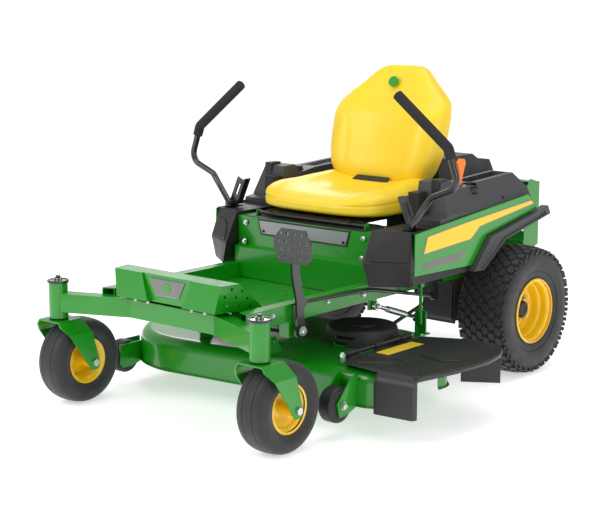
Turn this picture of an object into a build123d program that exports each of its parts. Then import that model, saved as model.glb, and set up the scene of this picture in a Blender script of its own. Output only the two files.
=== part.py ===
from build123d import *
import os
from math import cos, hypot, pi, sin, sqrt

# Zero turn mower. Millimetres. Machine frame while modelling: X = 0 is the centre
# plane, Y = 0 is the rear axle, Z = 0 is the ground, and the mower faces -Y.
# The chute is on +X. export_nodes() moves everything so that the bottom centre of
# the overall box is the origin.

# ---------------------------------------------------------------- driving sizes
WHEELBASE = 1255.0

REAR_TRACK = 876.0              # centre to centre of the rear tyres
REAR_TYRE_R = 225.0
REAR_TYRE_W = 186.0
REAR_RIM_R = 112.0              # outer radius of the rim flange
REAR_RIM_W = 160.0
LUG_CIRCLE_R = 50.8
LUG_R = 6.0
LUG_COUNT = 4

FRONT_TYRE_R = 139.7
FRONT_TYRE_W = 108.0
FRONT_RIM_R = 74.0
FRONT_RIM_W = 86.0
CASTER_TRACK = 870.0
CASTER_TRAIL = 79.0
CASTER_TUBE_R = 31.0
CASTER_TUBE_H = 116.0
CASTER_TUBE_Z = 292.0           # bottom of the tube
STEM_R = 12.7
FORK_T = 5.0
FORK_HALF_W = 78.0              # outer face of a fork leg from the wheel's centre
AXLE_BOLT_R = 8.0

BEAM_D = 50.0
BEAM_H = 61.0
BEAM_Z = 314.0
BEAM_BEND_X = 185.0             # where the straight middle turns towards the casters
BEAM_SETBACK = 102.0            # middle of the beam behind the caster pivots
TUBE_WALL = 3.0

RAIL_W = 40.0
RAIL_H = 55.0
RAIL_Z = 340.0
RAIL_X = 272.0                  # inner face of a side rail
RAIL_REAR_Y = 250.0
SHEET_T = 3.0

SEAT_FLOOR_Z = 553.0            # top of the box under the seat
TOE_Y = -640.0
SIDE_PLATE_X = 284.0
SIDE_PLATE_T = 4.0

PANEL_X = 440.0                 # outer face of a side panel
PANEL_T = 6.0
PLASTIC_T = 4.0
CONSOLE_X = 297.0               # inner face of a console
CONSOLE_OUT_X = 431.0

LEVER_TUBE_R = 11.0
GRIP_R = 17.0
LEVER_Y = -565.0                # plane of a lever at rest
LEVER_BASE_X = 397.0
LEVER_BASE_Z = 578.0
LEVER_AXIS_Y = -551.0           # drive pivot
LEVER_AXIS_Z = 540.0
LEVER_BOLT_R = 5.0

FOOT_Z_LOW = 386.0              # foot rest: front lower edge
FOOT_Z_TOP = 472.0
FOOT_TOP_D = 68.0               # depth of its flat top
FOOT_D = 181.0                  # depth from the front lower edge to the rear edge
FOOT_RISE = 11.0                # the front leans back by this much
FOOT_X_FRONT_LOW = 212.0        # half-widths of the foot rest at three corners
FOOT_X_FRONT_TOP = 229.0
FOOT_X_BACK_LOW = 246.0
FOOT_HOLE_R = 4.5
RECESS_TOP_X = 112.0            # half-widths of the hollow in the foot rest
RECESS_LOW_X = 62.0
RECESS_D = 9.0
TREAD_R = 9.0
TREAD_H = 2.5

POD_REAR_Y = -570.0
POD_TOP_Z = 567.0
PANEL_FRONT_Y = -597.0
TRAY_X = (314.0, 372.0)         # inside of a storage tray
TRAY_Y = (-196.0, 34.0)
TRAY_Z = 628.0
THROTTLE_X = 368.0
THROTTLE_Y = -250.0
THROTTLE_Z = 640.0
THROTTLE_PIN_R = 6.0
KNOB = (392.0, -214.0, 662.0)
KNOB_R = 23.0
CAP = (-345.0, -275.0)          # fuel cap
CAP_Z = 686.0
NECK_R = 26.0

PEDAL_X = 330.0                 # inner face of the pedal arm
PEDAL_T = 8.0
PEDAL_Y = -1038.0
PEDAL_Z = 312.0
PEDAL_ROD_DY = 14.0             # rod joint from the pedal pivot
PEDAL_ROD_DZ = 85.0
ROD_X = 322.0
ROD_R = 6.0
SHAFT_Y = -330.0                # lift shaft through the side rails
SHAFT_Z = 368.0
SHAFT_R = 10.0
SHAFT_DROP = 63.0               # rod joint below the lift shaft
LIFT_ARM = 120.0                # lift shaft to the hangers
LIFT_ARM_X = 352.0              # outer end of the lift shaft
PAD_Z = (528.0, 634.0)          # pedal pad
PAD_HOLE_R = 4.5
DRAG_FRONT = (-645.0, 322.0)    # Y and Z of the drag link's two eyes
DRAG_REAR = (-424.0, 246.0)
DRAG_R = 7.0
DRAG_PIN_R = 7.0

NUT_AF = 24.0                   # across flats: caster nut and bolt heads
AXLE_HEAD_AF = 22.0
LEVER_HEAD_AF = 14.0
ROLLER_HEAD_AF = 18.0

DECK_R = 290.0                  # deck wall from a spindle
SPINDLE_X = 255.0
SPINDLE_Y_LEFT = -680.0         # spindle on the chute's side
SPINDLE_Y_RIGHT = -745.0
DECK_LIP_Z = 88.0
DECK_TOP_Z = 195.0
DECK_T = 3.5
DECK_SHOULDER_R = 38.0
DECK_SIDE_X = 570.0             # deck wall at the discharge opening
DECK_FRONT_CORNER_Y = -955.0
SPINDLE_R = 12.7
BLADE_TIP_GAP = 37.0            # blade tip to the deck wall
BLADE_Z = 104.0
PULLEY_R = 60.0
ENGINE_PULLEY_R = 52.0
BELT_Z = 216.0
ENGINE_Y = 90.0                 # crankshaft
CRANK_R = 12.7
ROLLER_R = 56.0
ROLLER_X = 465.0
ROLLER_Y = -1030.0
ROLLER_Z = 103.0
ROLLER_W = 52.0
ROLLER_BOLT_R = 6.0

CHUTE_HINGE_X = 405.0
CHUTE_HINGE_Z = 223.0
CHUTE_PIN_R = 5.0
CHUTE_OUT_X = 760.0
CHUTE_TOP_Z = 213.0
CHUTE_LOW_Z = 84.0
CHUTE_T = 4.0
CHUTE_LIP = 14.0                # height of the lip round the mouth
CHUTE_ROLL_R = 40.0             # where the top rolls into the front wall
COVER_R = 126.0                 # belt covers
COVER_H = 54.0
COVER_SHIFT = 50.0              # cover centre behind the spindle

SEAT_HALF_W = 256.0
SEAT_TOP_Z = 1060.0
SEAT_HINGE_Y = -588.0
SEAT_HINGE_Z = 567.0
SEAT_PIN_R = 5.0

GUARD_Y = 358.0                 # front face of the rear guard
GUARD_X = 306.0
HITCH_HOLE_R = 9.75
HITCH_T = 6.0
BAG_HOLE_R = 5.5
BAG_HOLE_DX = 480.0
BAG_HOLE_DZ = 140.0

# ---------------------------------------------------------------- clearances
RUN = 0.05                      # radial, a shaft in its bore
GAP = 0.4                       # curved faces of two bodies side by side
SIDE = 1.0                      # flat faces of two bodies side by side

# ---------------------------------------------------------------- worked out
FRONT_AXLE_Y = -WHEELBASE
CASTER_Y = -WHEELBASE - CASTER_TRAIL
CASTER_X = CASTER_TRACK / 2
REAR_X = REAR_TRACK / 2
BEAM_Y = CASTER_Y + BEAM_SETBACK
BEAM_REAR_Y = BEAM_Y + BEAM_D / 2
CASTER_TUBE_TOP = CASTER_TUBE_Z + CASTER_TUBE_H
FORK_TOP_Z = CASTER_TUBE_Z - 4.0
RAIL_OUT_X = RAIL_X + RAIL_W
LEVER_POINTS = [(LEVER_BASE_X, LEVER_BASE_Z), (478, 681), (583, 722), (540, 845), (346, 996)]
LEVER_BENDS = [34, 40, 45]
GRIP_START = (552, 811)
RAIL_TOP = RAIL_Z + RAIL_H
FOOT_Y = BEAM_Y - 55.0
BLADE_LEN = 2 * (DECK_R - BLADE_TIP_GAP)
SPINDLES = {"left": (SPINDLE_X, SPINDLE_Y_LEFT), "right": (-SPINDLE_X, SPINDLE_Y_RIGHT)}
SIDES = {"left": 1, "right": -1}


# ---------------------------------------------------------------- helpers
def box(x0, x1, y0, y1, z0, z1):
    """Block between two corners."""
    size = (x1 - x0, y1 - y0, z1 - z0)
    return Pos(x0, y0, z0) * Box(*size, align=(Align.MIN, Align.MIN, Align.MIN))


def prism(points, axis, start, end):
    """Extrude an outline along an axis; points are the other two coordinates in order."""
    place = {
        "x": lambda a, b: (start, a, b),
        "y": lambda a, b: (a, start, b),
        "z": lambda a, b: (a, b, start),
    }[axis]
    way = {"x": (1, 0, 0), "y": (0, 1, 0), "z": (0, 0, 1)}[axis]
    outline = Wire.make_polygon([place(a, b) for a, b in points], close=True)
    return Part() + extrude(Face(outline), amount=end - start, dir=way)


def rod(start, end, radius):
    """Round bar between two points."""
    direction = Vector(*end) - Vector(*start)
    plane = Plane(origin=start, z_dir=direction)
    return Part() + Solid.make_cylinder(radius, direction.length, plane)


def ribbon(points, width):
    """Outline of a mitred strip of a given width along a polyline."""
    left = []
    right = []
    for i, (x, y) in enumerate(points):
        before = points[max(i - 1, 0)]
        after = points[min(i + 1, len(points) - 1)]
        ways = []
        for a, b in ((before, (x, y)), ((x, y), after)):
            length = hypot(b[0] - a[0], b[1] - a[1])
            if length > 0:
                ways.append(((b[0] - a[0]) / length, (b[1] - a[1]) / length))
        tx = sum(w[0] for w in ways)
        ty = sum(w[1] for w in ways)
        size = hypot(tx, ty)
        nx, ny = -ty / size, tx / size
        reach = width / 2 / (nx * -ways[0][1] + ny * ways[0][0])
        left.append((x + nx * reach, y + ny * reach))
        right.append((x - nx * reach, y - ny * reach))
    return left + right[::-1]


def hull_face(circles):
    """Convex outline round a list of (x, y, radius) circles, at Z = 0."""
    edges = [e for x, y, r in circles for e in (Pos(x, y) * Circle(r)).edges()]
    return make_face(make_hull(edges).edges())


def slab(face, z0, z1):
    """Raise a face that lies at Z = 0 into a slab."""
    return Part() + Pos(0, 0, z0) * extrude(face, amount=z1 - z0, dir=(0, 0, 1))


def mirrored(part, side):
    """The part for one side, from the part that was made for +X."""
    return part if side == "left" else mirror(part, about=Plane.YZ)


def turned(outline, centre):
    """Revolve an outline of (offset along X, radius) points about a wheel's X axis."""
    cx, cy, cz = centre
    wire = Wire.make_polygon([(cx + a, cy, cz + r) for a, r in outline], close=True)
    return Part() + revolve(Face(wire), axis=Axis(centre, (1, 0, 0)), revolution_arc=360)


def tyre(centre, radius, width, bead_r, bead_x, wall):
    """Hollow tyre: round side walls and crown, open at the bead."""
    cx, cy, cz = centre
    shoulder = width * 0.40

    def section(inset, bead_side):
        half = width / 2 - inset
        top = radius - inset
        edge_r = radius - inset - (radius - bead_r) * 0.13
        mid_r = bead_r + (radius - bead_r) * 0.5
        side_x = shoulder - inset * 0.5
        points = []
        points.append((bead_side, bead_r))
        points.append((half, mid_r))
        points.append((side_x, edge_r))
        points.append((0.0, top))
        return points

    def edges(points):
        def at(offset, r):
            return (cx + offset, cy, cz + r)

        (bx, br), (mx, mr), (sx, sr), (_, tr) = points
        return [
            ThreePointArc(at(bx, br), at(mx, mr), at(sx, sr)),
            ThreePointArc(at(sx, sr), at(0, tr), at(-sx, sr)),
            ThreePointArc(at(-sx, sr), at(-mx, mr), at(-bx, br)),
        ]

    outer = edges(section(0.0, bead_x))
    inner = edges(section(wall, bead_x - wall))
    foot_left = Line(outer[0] @ 0, inner[0] @ 0)
    foot_right = Line(outer[2] @ 1, inner[2] @ 1)
    loop = Wire(Wire.combine([*outer, *inner, foot_left, foot_right])[0].edges())
    return Part() + revolve(Face(loop), axis=Axis(centre, (1, 0, 0)), revolution_arc=360)


# ---------------------------------------------------------------- frame
def beam_line():
    """Centre line of the front beam in plan."""
    return [(-CASTER_X, CASTER_Y), (-BEAM_BEND_X, BEAM_Y), (BEAM_BEND_X, BEAM_Y), (CASTER_X, CASTER_Y)]


def beam_solid():
    """Outer shape of the beam, without the caster tubes."""
    return prism(ribbon(beam_line(), BEAM_D), "z", BEAM_Z, BEAM_Z + BEAM_H)


def front_beam():
    """Bent box tube with a caster tube and two bearings at each end."""
    hollow = prism(ribbon(beam_line(), BEAM_D - 2 * TUBE_WALL), "z", BEAM_Z + TUBE_WALL,
                   BEAM_Z + BEAM_H - TUBE_WALL)
    beam = beam_solid() - hollow
    bearing_h = 20.0
    for sign in SIDES.values():
        x = sign * CASTER_X
        low = (x, CASTER_Y, CASTER_TUBE_Z)
        high = (x, CASTER_Y, CASTER_TUBE_TOP)
        beam -= rod(low, high, CASTER_TUBE_R - 0.5)
        tube = rod(low, high, CASTER_TUBE_R) - rod(low, high, STEM_R + RUN)
        waist_low = (x, CASTER_Y, CASTER_TUBE_Z + bearing_h)
        waist_high = (x, CASTER_Y, CASTER_TUBE_TOP - bearing_h)
        tube -= rod(waist_low, waist_high, CASTER_TUBE_R - 2 * TUBE_WALL)
        beam += tube
    return beam


def frame_rails():
    """Side rails, cross members, under-seat side plates and the hitch plate."""
    rails = Part()
    for sign in SIDES.values():
        x0, x1 = sorted((sign * RAIL_X, sign * RAIL_OUT_X))
        front = BEAM_Y - BEAM_D
        rail = box(x0, x1, front, RAIL_REAR_Y, RAIL_Z, RAIL_TOP)
        rail -= box(x0 + TUBE_WALL, x1 - TUBE_WALL, front, RAIL_REAR_Y, RAIL_Z + TUBE_WALL,
                    RAIL_TOP - TUBE_WALL)
        rail -= beam_solid()
        rail -= prism(ribbon(beam_line(), BEAM_D), "z", RAIL_Z - 10, RAIL_TOP + 10)
        rail -= rod((x0 - 1, SHAFT_Y, SHAFT_Z), (x1 + 1, SHAFT_Y, SHAFT_Z), SHAFT_R + RUN)
        p0, p1 = sorted((sign * SIDE_PLATE_X, sign * (SIDE_PLATE_X + SIDE_PLATE_T)))
        wall = prism([(TOE_Y + 30, RAIL_TOP), (-140, RAIL_TOP), (-140, SEAT_FLOOR_Z),
                      (TOE_Y + 30, SEAT_FLOOR_Z)], "x", p0, p1)
        wall -= rod((p0 - 1, LEVER_AXIS_Y, LEVER_AXIS_Z), (p1 + 1, LEVER_AXIS_Y, LEVER_AXIS_Z), 9.0 + RUN)
        rails += rail
        rails += wall
    inner = RAIL_X + 0.5
    for y in (-560.0, -90.0, 200.0):
        rails += box(-inner, inner, y, y + 40, RAIL_TOP - 35, RAIL_TOP)
    rails += box(-SIDE_PLATE_X, SIDE_PLATE_X, -165, -140, SEAT_FLOOR_Z - 30, SEAT_FLOOR_Z)
    rails += box(-RAIL_OUT_X, RAIL_OUT_X, RAIL_REAR_Y, RAIL_REAR_Y + HITCH_T, RAIL_Z - 12, RAIL_TOP + 20)
    hitch = box(-55, 55, RAIL_REAR_Y, RAIL_REAR_Y + 80, RAIL_Z - 12, RAIL_Z - 12 + HITCH_T)
    hitch = fillet(hitch.edges().filter_by(Axis.Z).group_by(Axis.Y)[-1], 18)
    hitch -= rod((0, RAIL_REAR_Y + 50, RAIL_Z - 20), (0, RAIL_REAR_Y + 50, RAIL_Z), HITCH_HOLE_R)
    rails += hitch
    bracket = box(RAIL_X + 2, RAIL_OUT_X, PEDAL_Y - 28, PEDAL_Y + 28, PEDAL_Z - 22, RAIL_Z)
    bracket += rod((RAIL_X + 2, PEDAL_Y, PEDAL_Z), (PEDAL_X + PEDAL_T + 8, PEDAL_Y, PEDAL_Z), 9.0)
    bracket += rod((PEDAL_X + PEDAL_T + 1, PEDAL_Y, PEDAL_Z), (PEDAL_X + PEDAL_T + 8, PEDAL_Y, PEDAL_Z),
                   14.0)
    rails += bracket
    link = DRAG_FRONT
    rails += box(RAIL_OUT_X - 12, RAIL_OUT_X, link[0] - 18, link[0] + 18, link[1] - 14, RAIL_Z)
    rails += rod((RAIL_OUT_X - 12, *link), (RAIL_OUT_X + 20, *link), DRAG_PIN_R)
    return rails


def floor_pan():
    """Foot platform between the rails, with rows of raised treads."""
    pan = box(-RAIL_X, RAIL_X, BEAM_REAR_Y + 6, TOE_Y, RAIL_Z, RAIL_Z + SHEET_T)
    pan += box(-RAIL_X, RAIL_X, BEAM_REAR_Y + 6, BEAM_REAR_Y + 6 + SHEET_T, RAIL_Z - 25, RAIL_Z)
    for row in range(6):
        y = BEAM_REAR_Y + 147 + row * 68
        for col in range(-3, 4):
            x = col * 72 + (18 if row % 2 else -18)
            if abs(x) < RAIL_X - 20:
                pan += rod((x, y, RAIL_Z + SHEET_T - 1), (x, y, RAIL_Z + SHEET_T + TREAD_H), TREAD_R)
    return pan


def foot_profile():
    """Side view of the foot rest: front low, front top, back top, back low."""
    top = FOOT_Y + FOOT_RISE
    return [(FOOT_Y, FOOT_Z_LOW), (top, FOOT_Z_TOP), (top + FOOT_TOP_D, FOOT_Z_TOP),
            (FOOT_Y + FOOT_D, FOOT_Z_LOW - 5)]


def foot_end(inset):
    """Everything beyond the slanted left end of the foot rest, moved inwards."""
    profile = foot_profile()
    low = Vector(FOOT_X_FRONT_LOW, *profile[0])
    top = Vector(FOOT_X_FRONT_TOP, *profile[1])
    back = Vector(FOOT_X_BACK_LOW, *profile[3])
    out = (back - low).cross(top - low).normalized()
    plane = Plane(origin=low - out * inset, z_dir=out)
    return Part() + extrude(plane * Rectangle(900, 900), amount=200)


def wedge(inset):
    """Outer shape of the foot rest, moved inwards by a sheet's thickness."""
    (fy, fz), (ty, tz), (by, bz), (ry, rz) = foot_profile()
    drop = inset * 6
    points = [(fy + inset, fz - drop), (ty + inset, tz - inset), (by - inset * 0.4, bz - inset),
              (ry - inset * 1.6, rz - drop)]
    half = FOOT_X_BACK_LOW + 60
    end = foot_end(inset)
    return prism(points, "x", -half, half) - end - mirrored(end, "right")


def recess(grow):
    """The tapered hollow in the middle of the foot rest's front."""
    top = RECESS_TOP_X + grow
    low = RECESS_LOW_X + grow
    y0 = FOOT_Y - 10
    y1 = FOOT_Y + FOOT_RISE + RECESS_D + grow - 3
    z0 = FOOT_Z_LOW - 30
    z1 = FOOT_Z_TOP + 10
    return prism([(-low, z0), (low, z0), (top, z1), (-top, z1)], "y", y0, y1)


def footrest():
    """Folded sheet foot rest with perforated end caps, on two legs."""
    shell = (wedge(0) - recess(0)) - (wedge(SHEET_T) - recess(SHEET_T))
    holes = ((0, 0), (40, -10), (-22, -22), (20, -28), (62, -36), (-8, -52), (34, -56), (76, -62))
    for sign in SIDES.values():
        for dy, dz in holes:
            y = FOOT_Y + 53 + dy
            z = FOOT_Z_TOP - 14 + dz
            shell -= rod((sign * (FOOT_X_FRONT_LOW - 40), y, z), (sign * (FOOT_X_BACK_LOW + 40), y, z),
                         FOOT_HOLE_R)
        x0, x1 = sorted((sign * 190, sign * 194))
        front = FOOT_Y + 97
        rear = FOOT_Y + 162
        floor = RAIL_Z + SHEET_T
        shell += prism([(front, floor), (rear, floor), (rear, 396.5), (front, 453)], "x", x0, x1)
    return shell


def trim_plates():
    """Silver plate on the riser and the plain plate in the foot rest."""
    plate_y = TOE_Y + 10
    dash = prism([(-184, 503), (184, 503), (197, 547), (-197, 547)], "y", plate_y - 4, plate_y)
    badge_y = FOOT_Y + FOOT_RISE + RECESS_D - 3
    badge = prism([(-48, 408), (48, 408), (74, 460), (-74, 460)], "y", badge_y - 4, badge_y)
    return dash + badge


def toe_board():
    """Stepped riser up to the seat, with the seat's hinge pin."""
    face_y = TOE_Y + 10
    line = [(TOE_Y - 10, RAIL_Z + SHEET_T + 1.5), (TOE_Y - 8, 448), (face_y + 1.5, 456),
            (face_y + 1.5, SEAT_FLOOR_Z + 1.5), (-520, SEAT_FLOOR_Z + 1.5)]
    board = prism(ribbon(line, SHEET_T), "x", -CONSOLE_X + 1, CONSOLE_X - 1)
    board -= box(-RAIL_OUT_X, -RAIL_X, TOE_Y - 60, TOE_Y + 60, RAIL_Z, RAIL_TOP)
    board -= box(RAIL_X, RAIL_OUT_X, TOE_Y - 60, TOE_Y + 60, RAIL_Z, RAIL_TOP)
    ear_x = 236.0
    for sign in SIDES.values():
        x0, x1 = sorted((sign * ear_x, sign * (ear_x + 4)))
        ear = prism([(SEAT_HINGE_Y - 14, SEAT_FLOOR_Z + SHEET_T - 0.5),
                     (SEAT_HINGE_Y + 14, SEAT_FLOOR_Z + SHEET_T - 0.5),
                     (SEAT_HINGE_Y + 9, SEAT_HINGE_Z + 10),
                     (SEAT_HINGE_Y - 9, SEAT_HINGE_Z + 10)], "x", x0, x1)
        board += ear
    board += rod((-ear_x - 10, SEAT_HINGE_Y, SEAT_HINGE_Z), (ear_x + 10, SEAT_HINGE_Y, SEAT_HINGE_Z),
                 SEAT_PIN_R)
    return board


# ---------------------------------------------------------------- body work
def pod_shape(inset):
    """Faceted fender front, moved inwards by the wall's thickness and left open behind and below."""
    open_rear = POD_REAR_Y + (2 * inset)
    low = 391.0 - 4 * inset
    rings = []
    rings.append((low, (322, -684), (430, -606)))
    rings.append((465.0, (300, -690), (440, -616)))
    rings.append((POD_TOP_Z - inset, (CONSOLE_X, -636), (420, -592)))
    wires = []
    for z, (ax, ay), (bx, by) in rings:
        points = [(ax + inset, ay + inset, z), (bx - inset, by + inset, z), (bx - inset, open_rear, z),
                  (ax + inset, open_rear, z)]
        wires.append(Wire.make_polygon(points, close=True))
    return Part() + Solid.make_loft(wires, ruled=True)


def fender_pod():
    """Front pod of one fender with its top plate and sill."""
    pod = pod_shape(0) - pod_shape(PLASTIC_T)
    top = box(CONSOLE_X, 432, -592, -404, POD_TOP_Z - PLASTIC_T, POD_TOP_Z)
    top -= box(374, 420, -591, -508, POD_TOP_Z - 10, POD_TOP_Z + 5)
    pod -= box(374, 418, -588, -508, POD_TOP_Z - 10, POD_TOP_Z + 5)
    sill = prism([(-600, 394), (-297, 398), (-276, 413), (-567, 422), (-600, 422)], "x", 420,
                 PANEL_X - PANEL_T)
    pod += top
    pod += sill
    return pod - prism(panel_outline(), "x", PANEL_X - PANEL_T, PANEL_X + 5)


def panel_outline():
    """Side view of the painted panel."""
    return [(PANEL_FRONT_Y, 425), (-272, 416), (-186, 507), (134, 564), (74, 620),
            (PANEL_FRONT_Y + 4, 563)]


ARCH_OUTLINE = [(-286, 398), (-225, 396), (-95, 484), (190, 540), (172, 572), (134, 562), (-186, 505),
                (-271, 415)]


def side_panel():
    """Flat coloured panel of one side."""
    return prism(panel_outline(), "x", PANEL_X - PANEL_T, PANEL_X)


def arch_trim():
    """Fender lip along the wheel arch."""
    lip = prism(ARCH_OUTLINE, "x", CONSOLE_OUT_X + SIDE, 462)
    groove = prism([(-250, 404), (-228, 403), (-100, 492), (160, 543), (150, 556), (-160, 500),
                    (-252, 415)], "x", 456, 463)
    return lip - groove


def console_profile(inset):
    """Side view of a console, inwards by the wall's thickness, open below."""
    low = 520.0 - 4 * inset
    points = [(-447 + inset, low), (-447 + inset, 588 - inset), (-404 + inset, 594 - inset),
              (-384 + inset, 702 - inset),
              (-330 - inset, 705 - inset), (-296 - inset * 0.3, 672 - inset),
              (-216, 684 - inset), (43 - inset, 696 - inset),
              (106 - inset, 640 - inset), (112 - inset, low)]
    return prism(points, "x", CONSOLE_X + inset, CONSOLE_OUT_X - inset)


def console_section(inset):
    """Front view of a console: upright inside, sloped outside."""
    outer = CONSOLE_OUT_X - inset
    points = [(CONSOLE_X + inset, 470), (outer, 470), (outer, 598), (386 - inset, 706),
              (386 - inset, 720), (CONSOLE_X + inset, 720)]
    return prism(points, "y", -460, 130)


def console_shell():
    """Hollow console with a storage tray let into its top."""
    shell = console_profile(0) & console_section(0)
    shell -= console_profile(PLASTIC_T) & console_section(PLASTIC_T)
    (x0, x1), (y0, y1) = TRAY_X, TRAY_Y
    t = PLASTIC_T
    tray = box(x0 - t, x1 + t, y0 - t, y1 + t, TRAY_Z - t, 720)
    tray &= console_profile(1) & console_section(1)
    shell += tray
    shell -= box(x0, x1, y0, y1, TRAY_Z, 730)
    shell -= box(CONSOLE_X - 1, CONSOLE_OUT_X + 1, -450, -400, 500, POD_TOP_Z)
    return shell


def console_left():
    """Console on the chute's side with throttle slot and knob seat."""
    shell = console_shell()
    shell -= box(THROTTLE_X - 5, THROTTLE_X + 5, THROTTLE_Y - 36, THROTTLE_Y + 40, 652, 720)
    shell -= rod((KNOB[0], KNOB[1], KNOB[2] - 12), (KNOB[0], KNOB[1], KNOB[2] + 60), KNOB_R + SIDE)
    return shell


def console_right():
    """Console over the fuel tank, with the filler hole."""
    shell = mirrored(console_shell(), "right")
    shell -= rod((CAP[0], CAP[1], 640), (CAP[0], CAP[1], 720), 34.0)
    return shell


def fuel_tank():
    """Tank under the right-hand console with its filler neck."""
    tank = box(-420, -306, -380, 60, 458, 556)
    tank = fillet(tank.edges(), 12)
    neck = rod((CAP[0], CAP[1], 550), (CAP[0], CAP[1], CAP_Z - 4), NECK_R)
    neck -= rod((CAP[0], CAP[1], 560), (CAP[0], CAP[1], CAP_Z), NECK_R - 4)
    return tank + neck


def fuel_cap():
    """Screw cap with finger grips, over the neck."""
    cap = rod((CAP[0], CAP[1], CAP_Z - 22), (CAP[0], CAP[1], CAP_Z + 6), NECK_R + 5)
    cap -= rod((CAP[0], CAP[1], CAP_Z - 30), (CAP[0], CAP[1], CAP_Z - 3), NECK_R + GAP)
    for k in range(12):
        a = 2 * pi * k / 12
        x = CAP[0] + (NECK_R + 7) * cos(a)
        y = CAP[1] + (NECK_R + 7) * sin(a)
        cap -= rod((x, y, CAP_Z - 30), (x, y, CAP_Z + 10), 4.0)
    return cap


def rear_guard():
    """Folded engine guard with a window and the bagger's bolt holes."""
    cheek = [(RAIL_REAR_Y + HITCH_T, RAIL_TOP - 40), (GUARD_Y, 389), (GUARD_Y + 4, 560),
             (GUARD_Y + 4, 622), (300, 640), (262, 600), (262, RAIL_TOP + 20),
             (RAIL_REAR_Y + HITCH_T, RAIL_TOP + 20)]
    guard = Part()
    half = GUARD_X
    for sign in SIDES.values():
        x0, x1 = sorted((sign * (half - SHEET_T), sign * half))
        guard += prism(cheek, "x", x0, x1)
    plate = prism([(GUARD_Y, 389), (GUARD_Y + SHEET_T, 389), (GUARD_Y + SHEET_T, 622), (GUARD_Y, 622)],
                  "x", -half, half)
    plate -= box(-180, 180, GUARD_Y - 1, GUARD_Y + 9, 440, 590)
    guard += plate
    guard += box(-half, half, GUARD_Y - 40, GUARD_Y + SHEET_T, 622, 622 + SHEET_T)
    for dx in (-1, 1):
        for dz in (-1, 1):
            x = dx * BAG_HOLE_DX / 2
            z = 505 + dz * BAG_HOLE_DZ / 2
            guard -= rod((x, GUARD_Y - 5, z), (x, GUARD_Y + 10, z), BAG_HOLE_R)
    return guard


# ---------------------------------------------------------------- power train
def engine_block():
    """Crankcase on the engine plate with two finned cylinders and the crankshaft."""
    block = box(-118, 118, ENGINE_Y - 120, ENGINE_Y + 110, RAIL_TOP, 560)
    block = fillet(block.edges().filter_by(Axis.Z), 25)
    for sign in SIDES.values():
        centre = Pos(sign * 118, ENGINE_Y + 118, 520) * Rot(0, 0, -sign * 50)
        block += centre * Box(92, 120, 78)
        for k in range(7):
            block += centre * Pos(0, -20 + k * 13, 0) * Box(112, 3, 98)
    block += rod((0, ENGINE_Y, BELT_Z - 16), (0, ENGINE_Y, RAIL_TOP + 5), CRANK_R)
    return block


def engine_cover():
    """Blower housing with stepped top."""
    top = [(-60, 572), (-66, 690), (-24, 732), (150, 734), (190, 712), (262, 704), (290, 660),
           (290, 600), (230, 572)]
    cover = prism(top, "x", -150, 150)
    cover = fillet(cover.edges().filter_by(Axis.X).group_by(Axis.Z)[-1], 12)
    inner = prism([(-54, 560), (-60, 686), (-20, 726), (148, 728), (188, 706), (258, 698), (284, 658),
                   (284, 603), (236, 560)], "x", -144, 144)
    return cover - inner


def muffler():
    """Round silencer across the rear of the engine."""
    body = rod((-150, 312, 434), (150, 312, 434), 36.0)
    body = fillet(body.edges(), 8)
    for sign in SIDES.values():
        body += rod((sign * 100, 300, 434), (sign * 112, 262, 480), 13.0)
    return body - engine_block()


def battery():
    """Battery under the seat."""
    case = box(-95, 95, -460, -330, RAIL_TOP, RAIL_TOP + 130)
    case += rod((-65, -430, RAIL_TOP + 129), (-65, -430, RAIL_TOP + 144), 8)
    case += rod((65, -430, RAIL_TOP + 129), (65, -430, RAIL_TOP + 144), 8)
    return case + box(-120, 120, -520, -300, RAIL_TOP - 3, RAIL_TOP)


def transaxles():
    """Ribbed transaxle castings, one to a wheel."""
    both = Part()
    for sign in SIDES.values():
        x0, x1 = sorted((sign * 172, sign * 296))
        case = box(x0, x1, -180, 62, 182, RAIL_Z)
        case = fillet(case.edges().filter_by(Axis.X), 22)
        for k in range(5):
            y = -165 + k * 50
            case += box(x0 - 3, x1 + 3, y, y + 8, 174, 300)
        case += rod((sign * 200, 0, REAR_TYRE_R), (sign * 310, 0, REAR_TYRE_R), 34.0)
        case -= rod((sign * 228, 0, REAR_TYRE_R), (sign * 320, 0, REAR_TYRE_R), 15.0 + RUN)
        both += case
    return both


def engine_pulley():
    """Clutch pulley on the crankshaft."""
    pulley = rod((0, ENGINE_Y, BELT_Z - 12), (0, ENGINE_Y, BELT_Z + 12), ENGINE_PULLEY_R)
    pulley += rod((0, ENGINE_Y, BELT_Z + 12), (0, ENGINE_Y, BELT_Z + 60), 46.0)
    return pulley - rod((0, ENGINE_Y, BELT_Z - 20), (0, ENGINE_Y, BELT_Z + 70), CRANK_R + RUN)


# ---------------------------------------------------------------- wheels
def rear_tyre():
    """Tall, wide drive tyre."""
    return tyre((REAR_X, 0, REAR_TYRE_R), REAR_TYRE_R, REAR_TYRE_W, REAR_RIM_R - 9.5,
                REAR_RIM_W / 2 - 13, 10.0)


def rear_rim():
    """Rolled rim with a dished disc."""
    half = REAR_RIM_W / 2
    r = REAR_RIM_R
    line = [(-half, r), (-half + 4, r - 12), (-half + 26, r - 16), (-half + 40, r - 30),
            (half - 52, r - 30),
            (half - 38, r - 16), (half - 4, r - 12), (half, r)]
    barrel = turned(ribbon(line, 3.5), (REAR_X, 0, REAR_TYRE_R))
    disc_line = [(2, r - 29), (14, r - 44), (14, 62), (4, 56), (4, 26)]
    disc = turned(ribbon(disc_line, 4.0), (REAR_X, 0, REAR_TYRE_R))
    rim = barrel + disc
    for k in range(LUG_COUNT):
        y, z = lug_place(k)
        rim -= rod((REAR_X - 20, y, z), (REAR_X + 40, y, z), LUG_R)
    return rim


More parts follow.
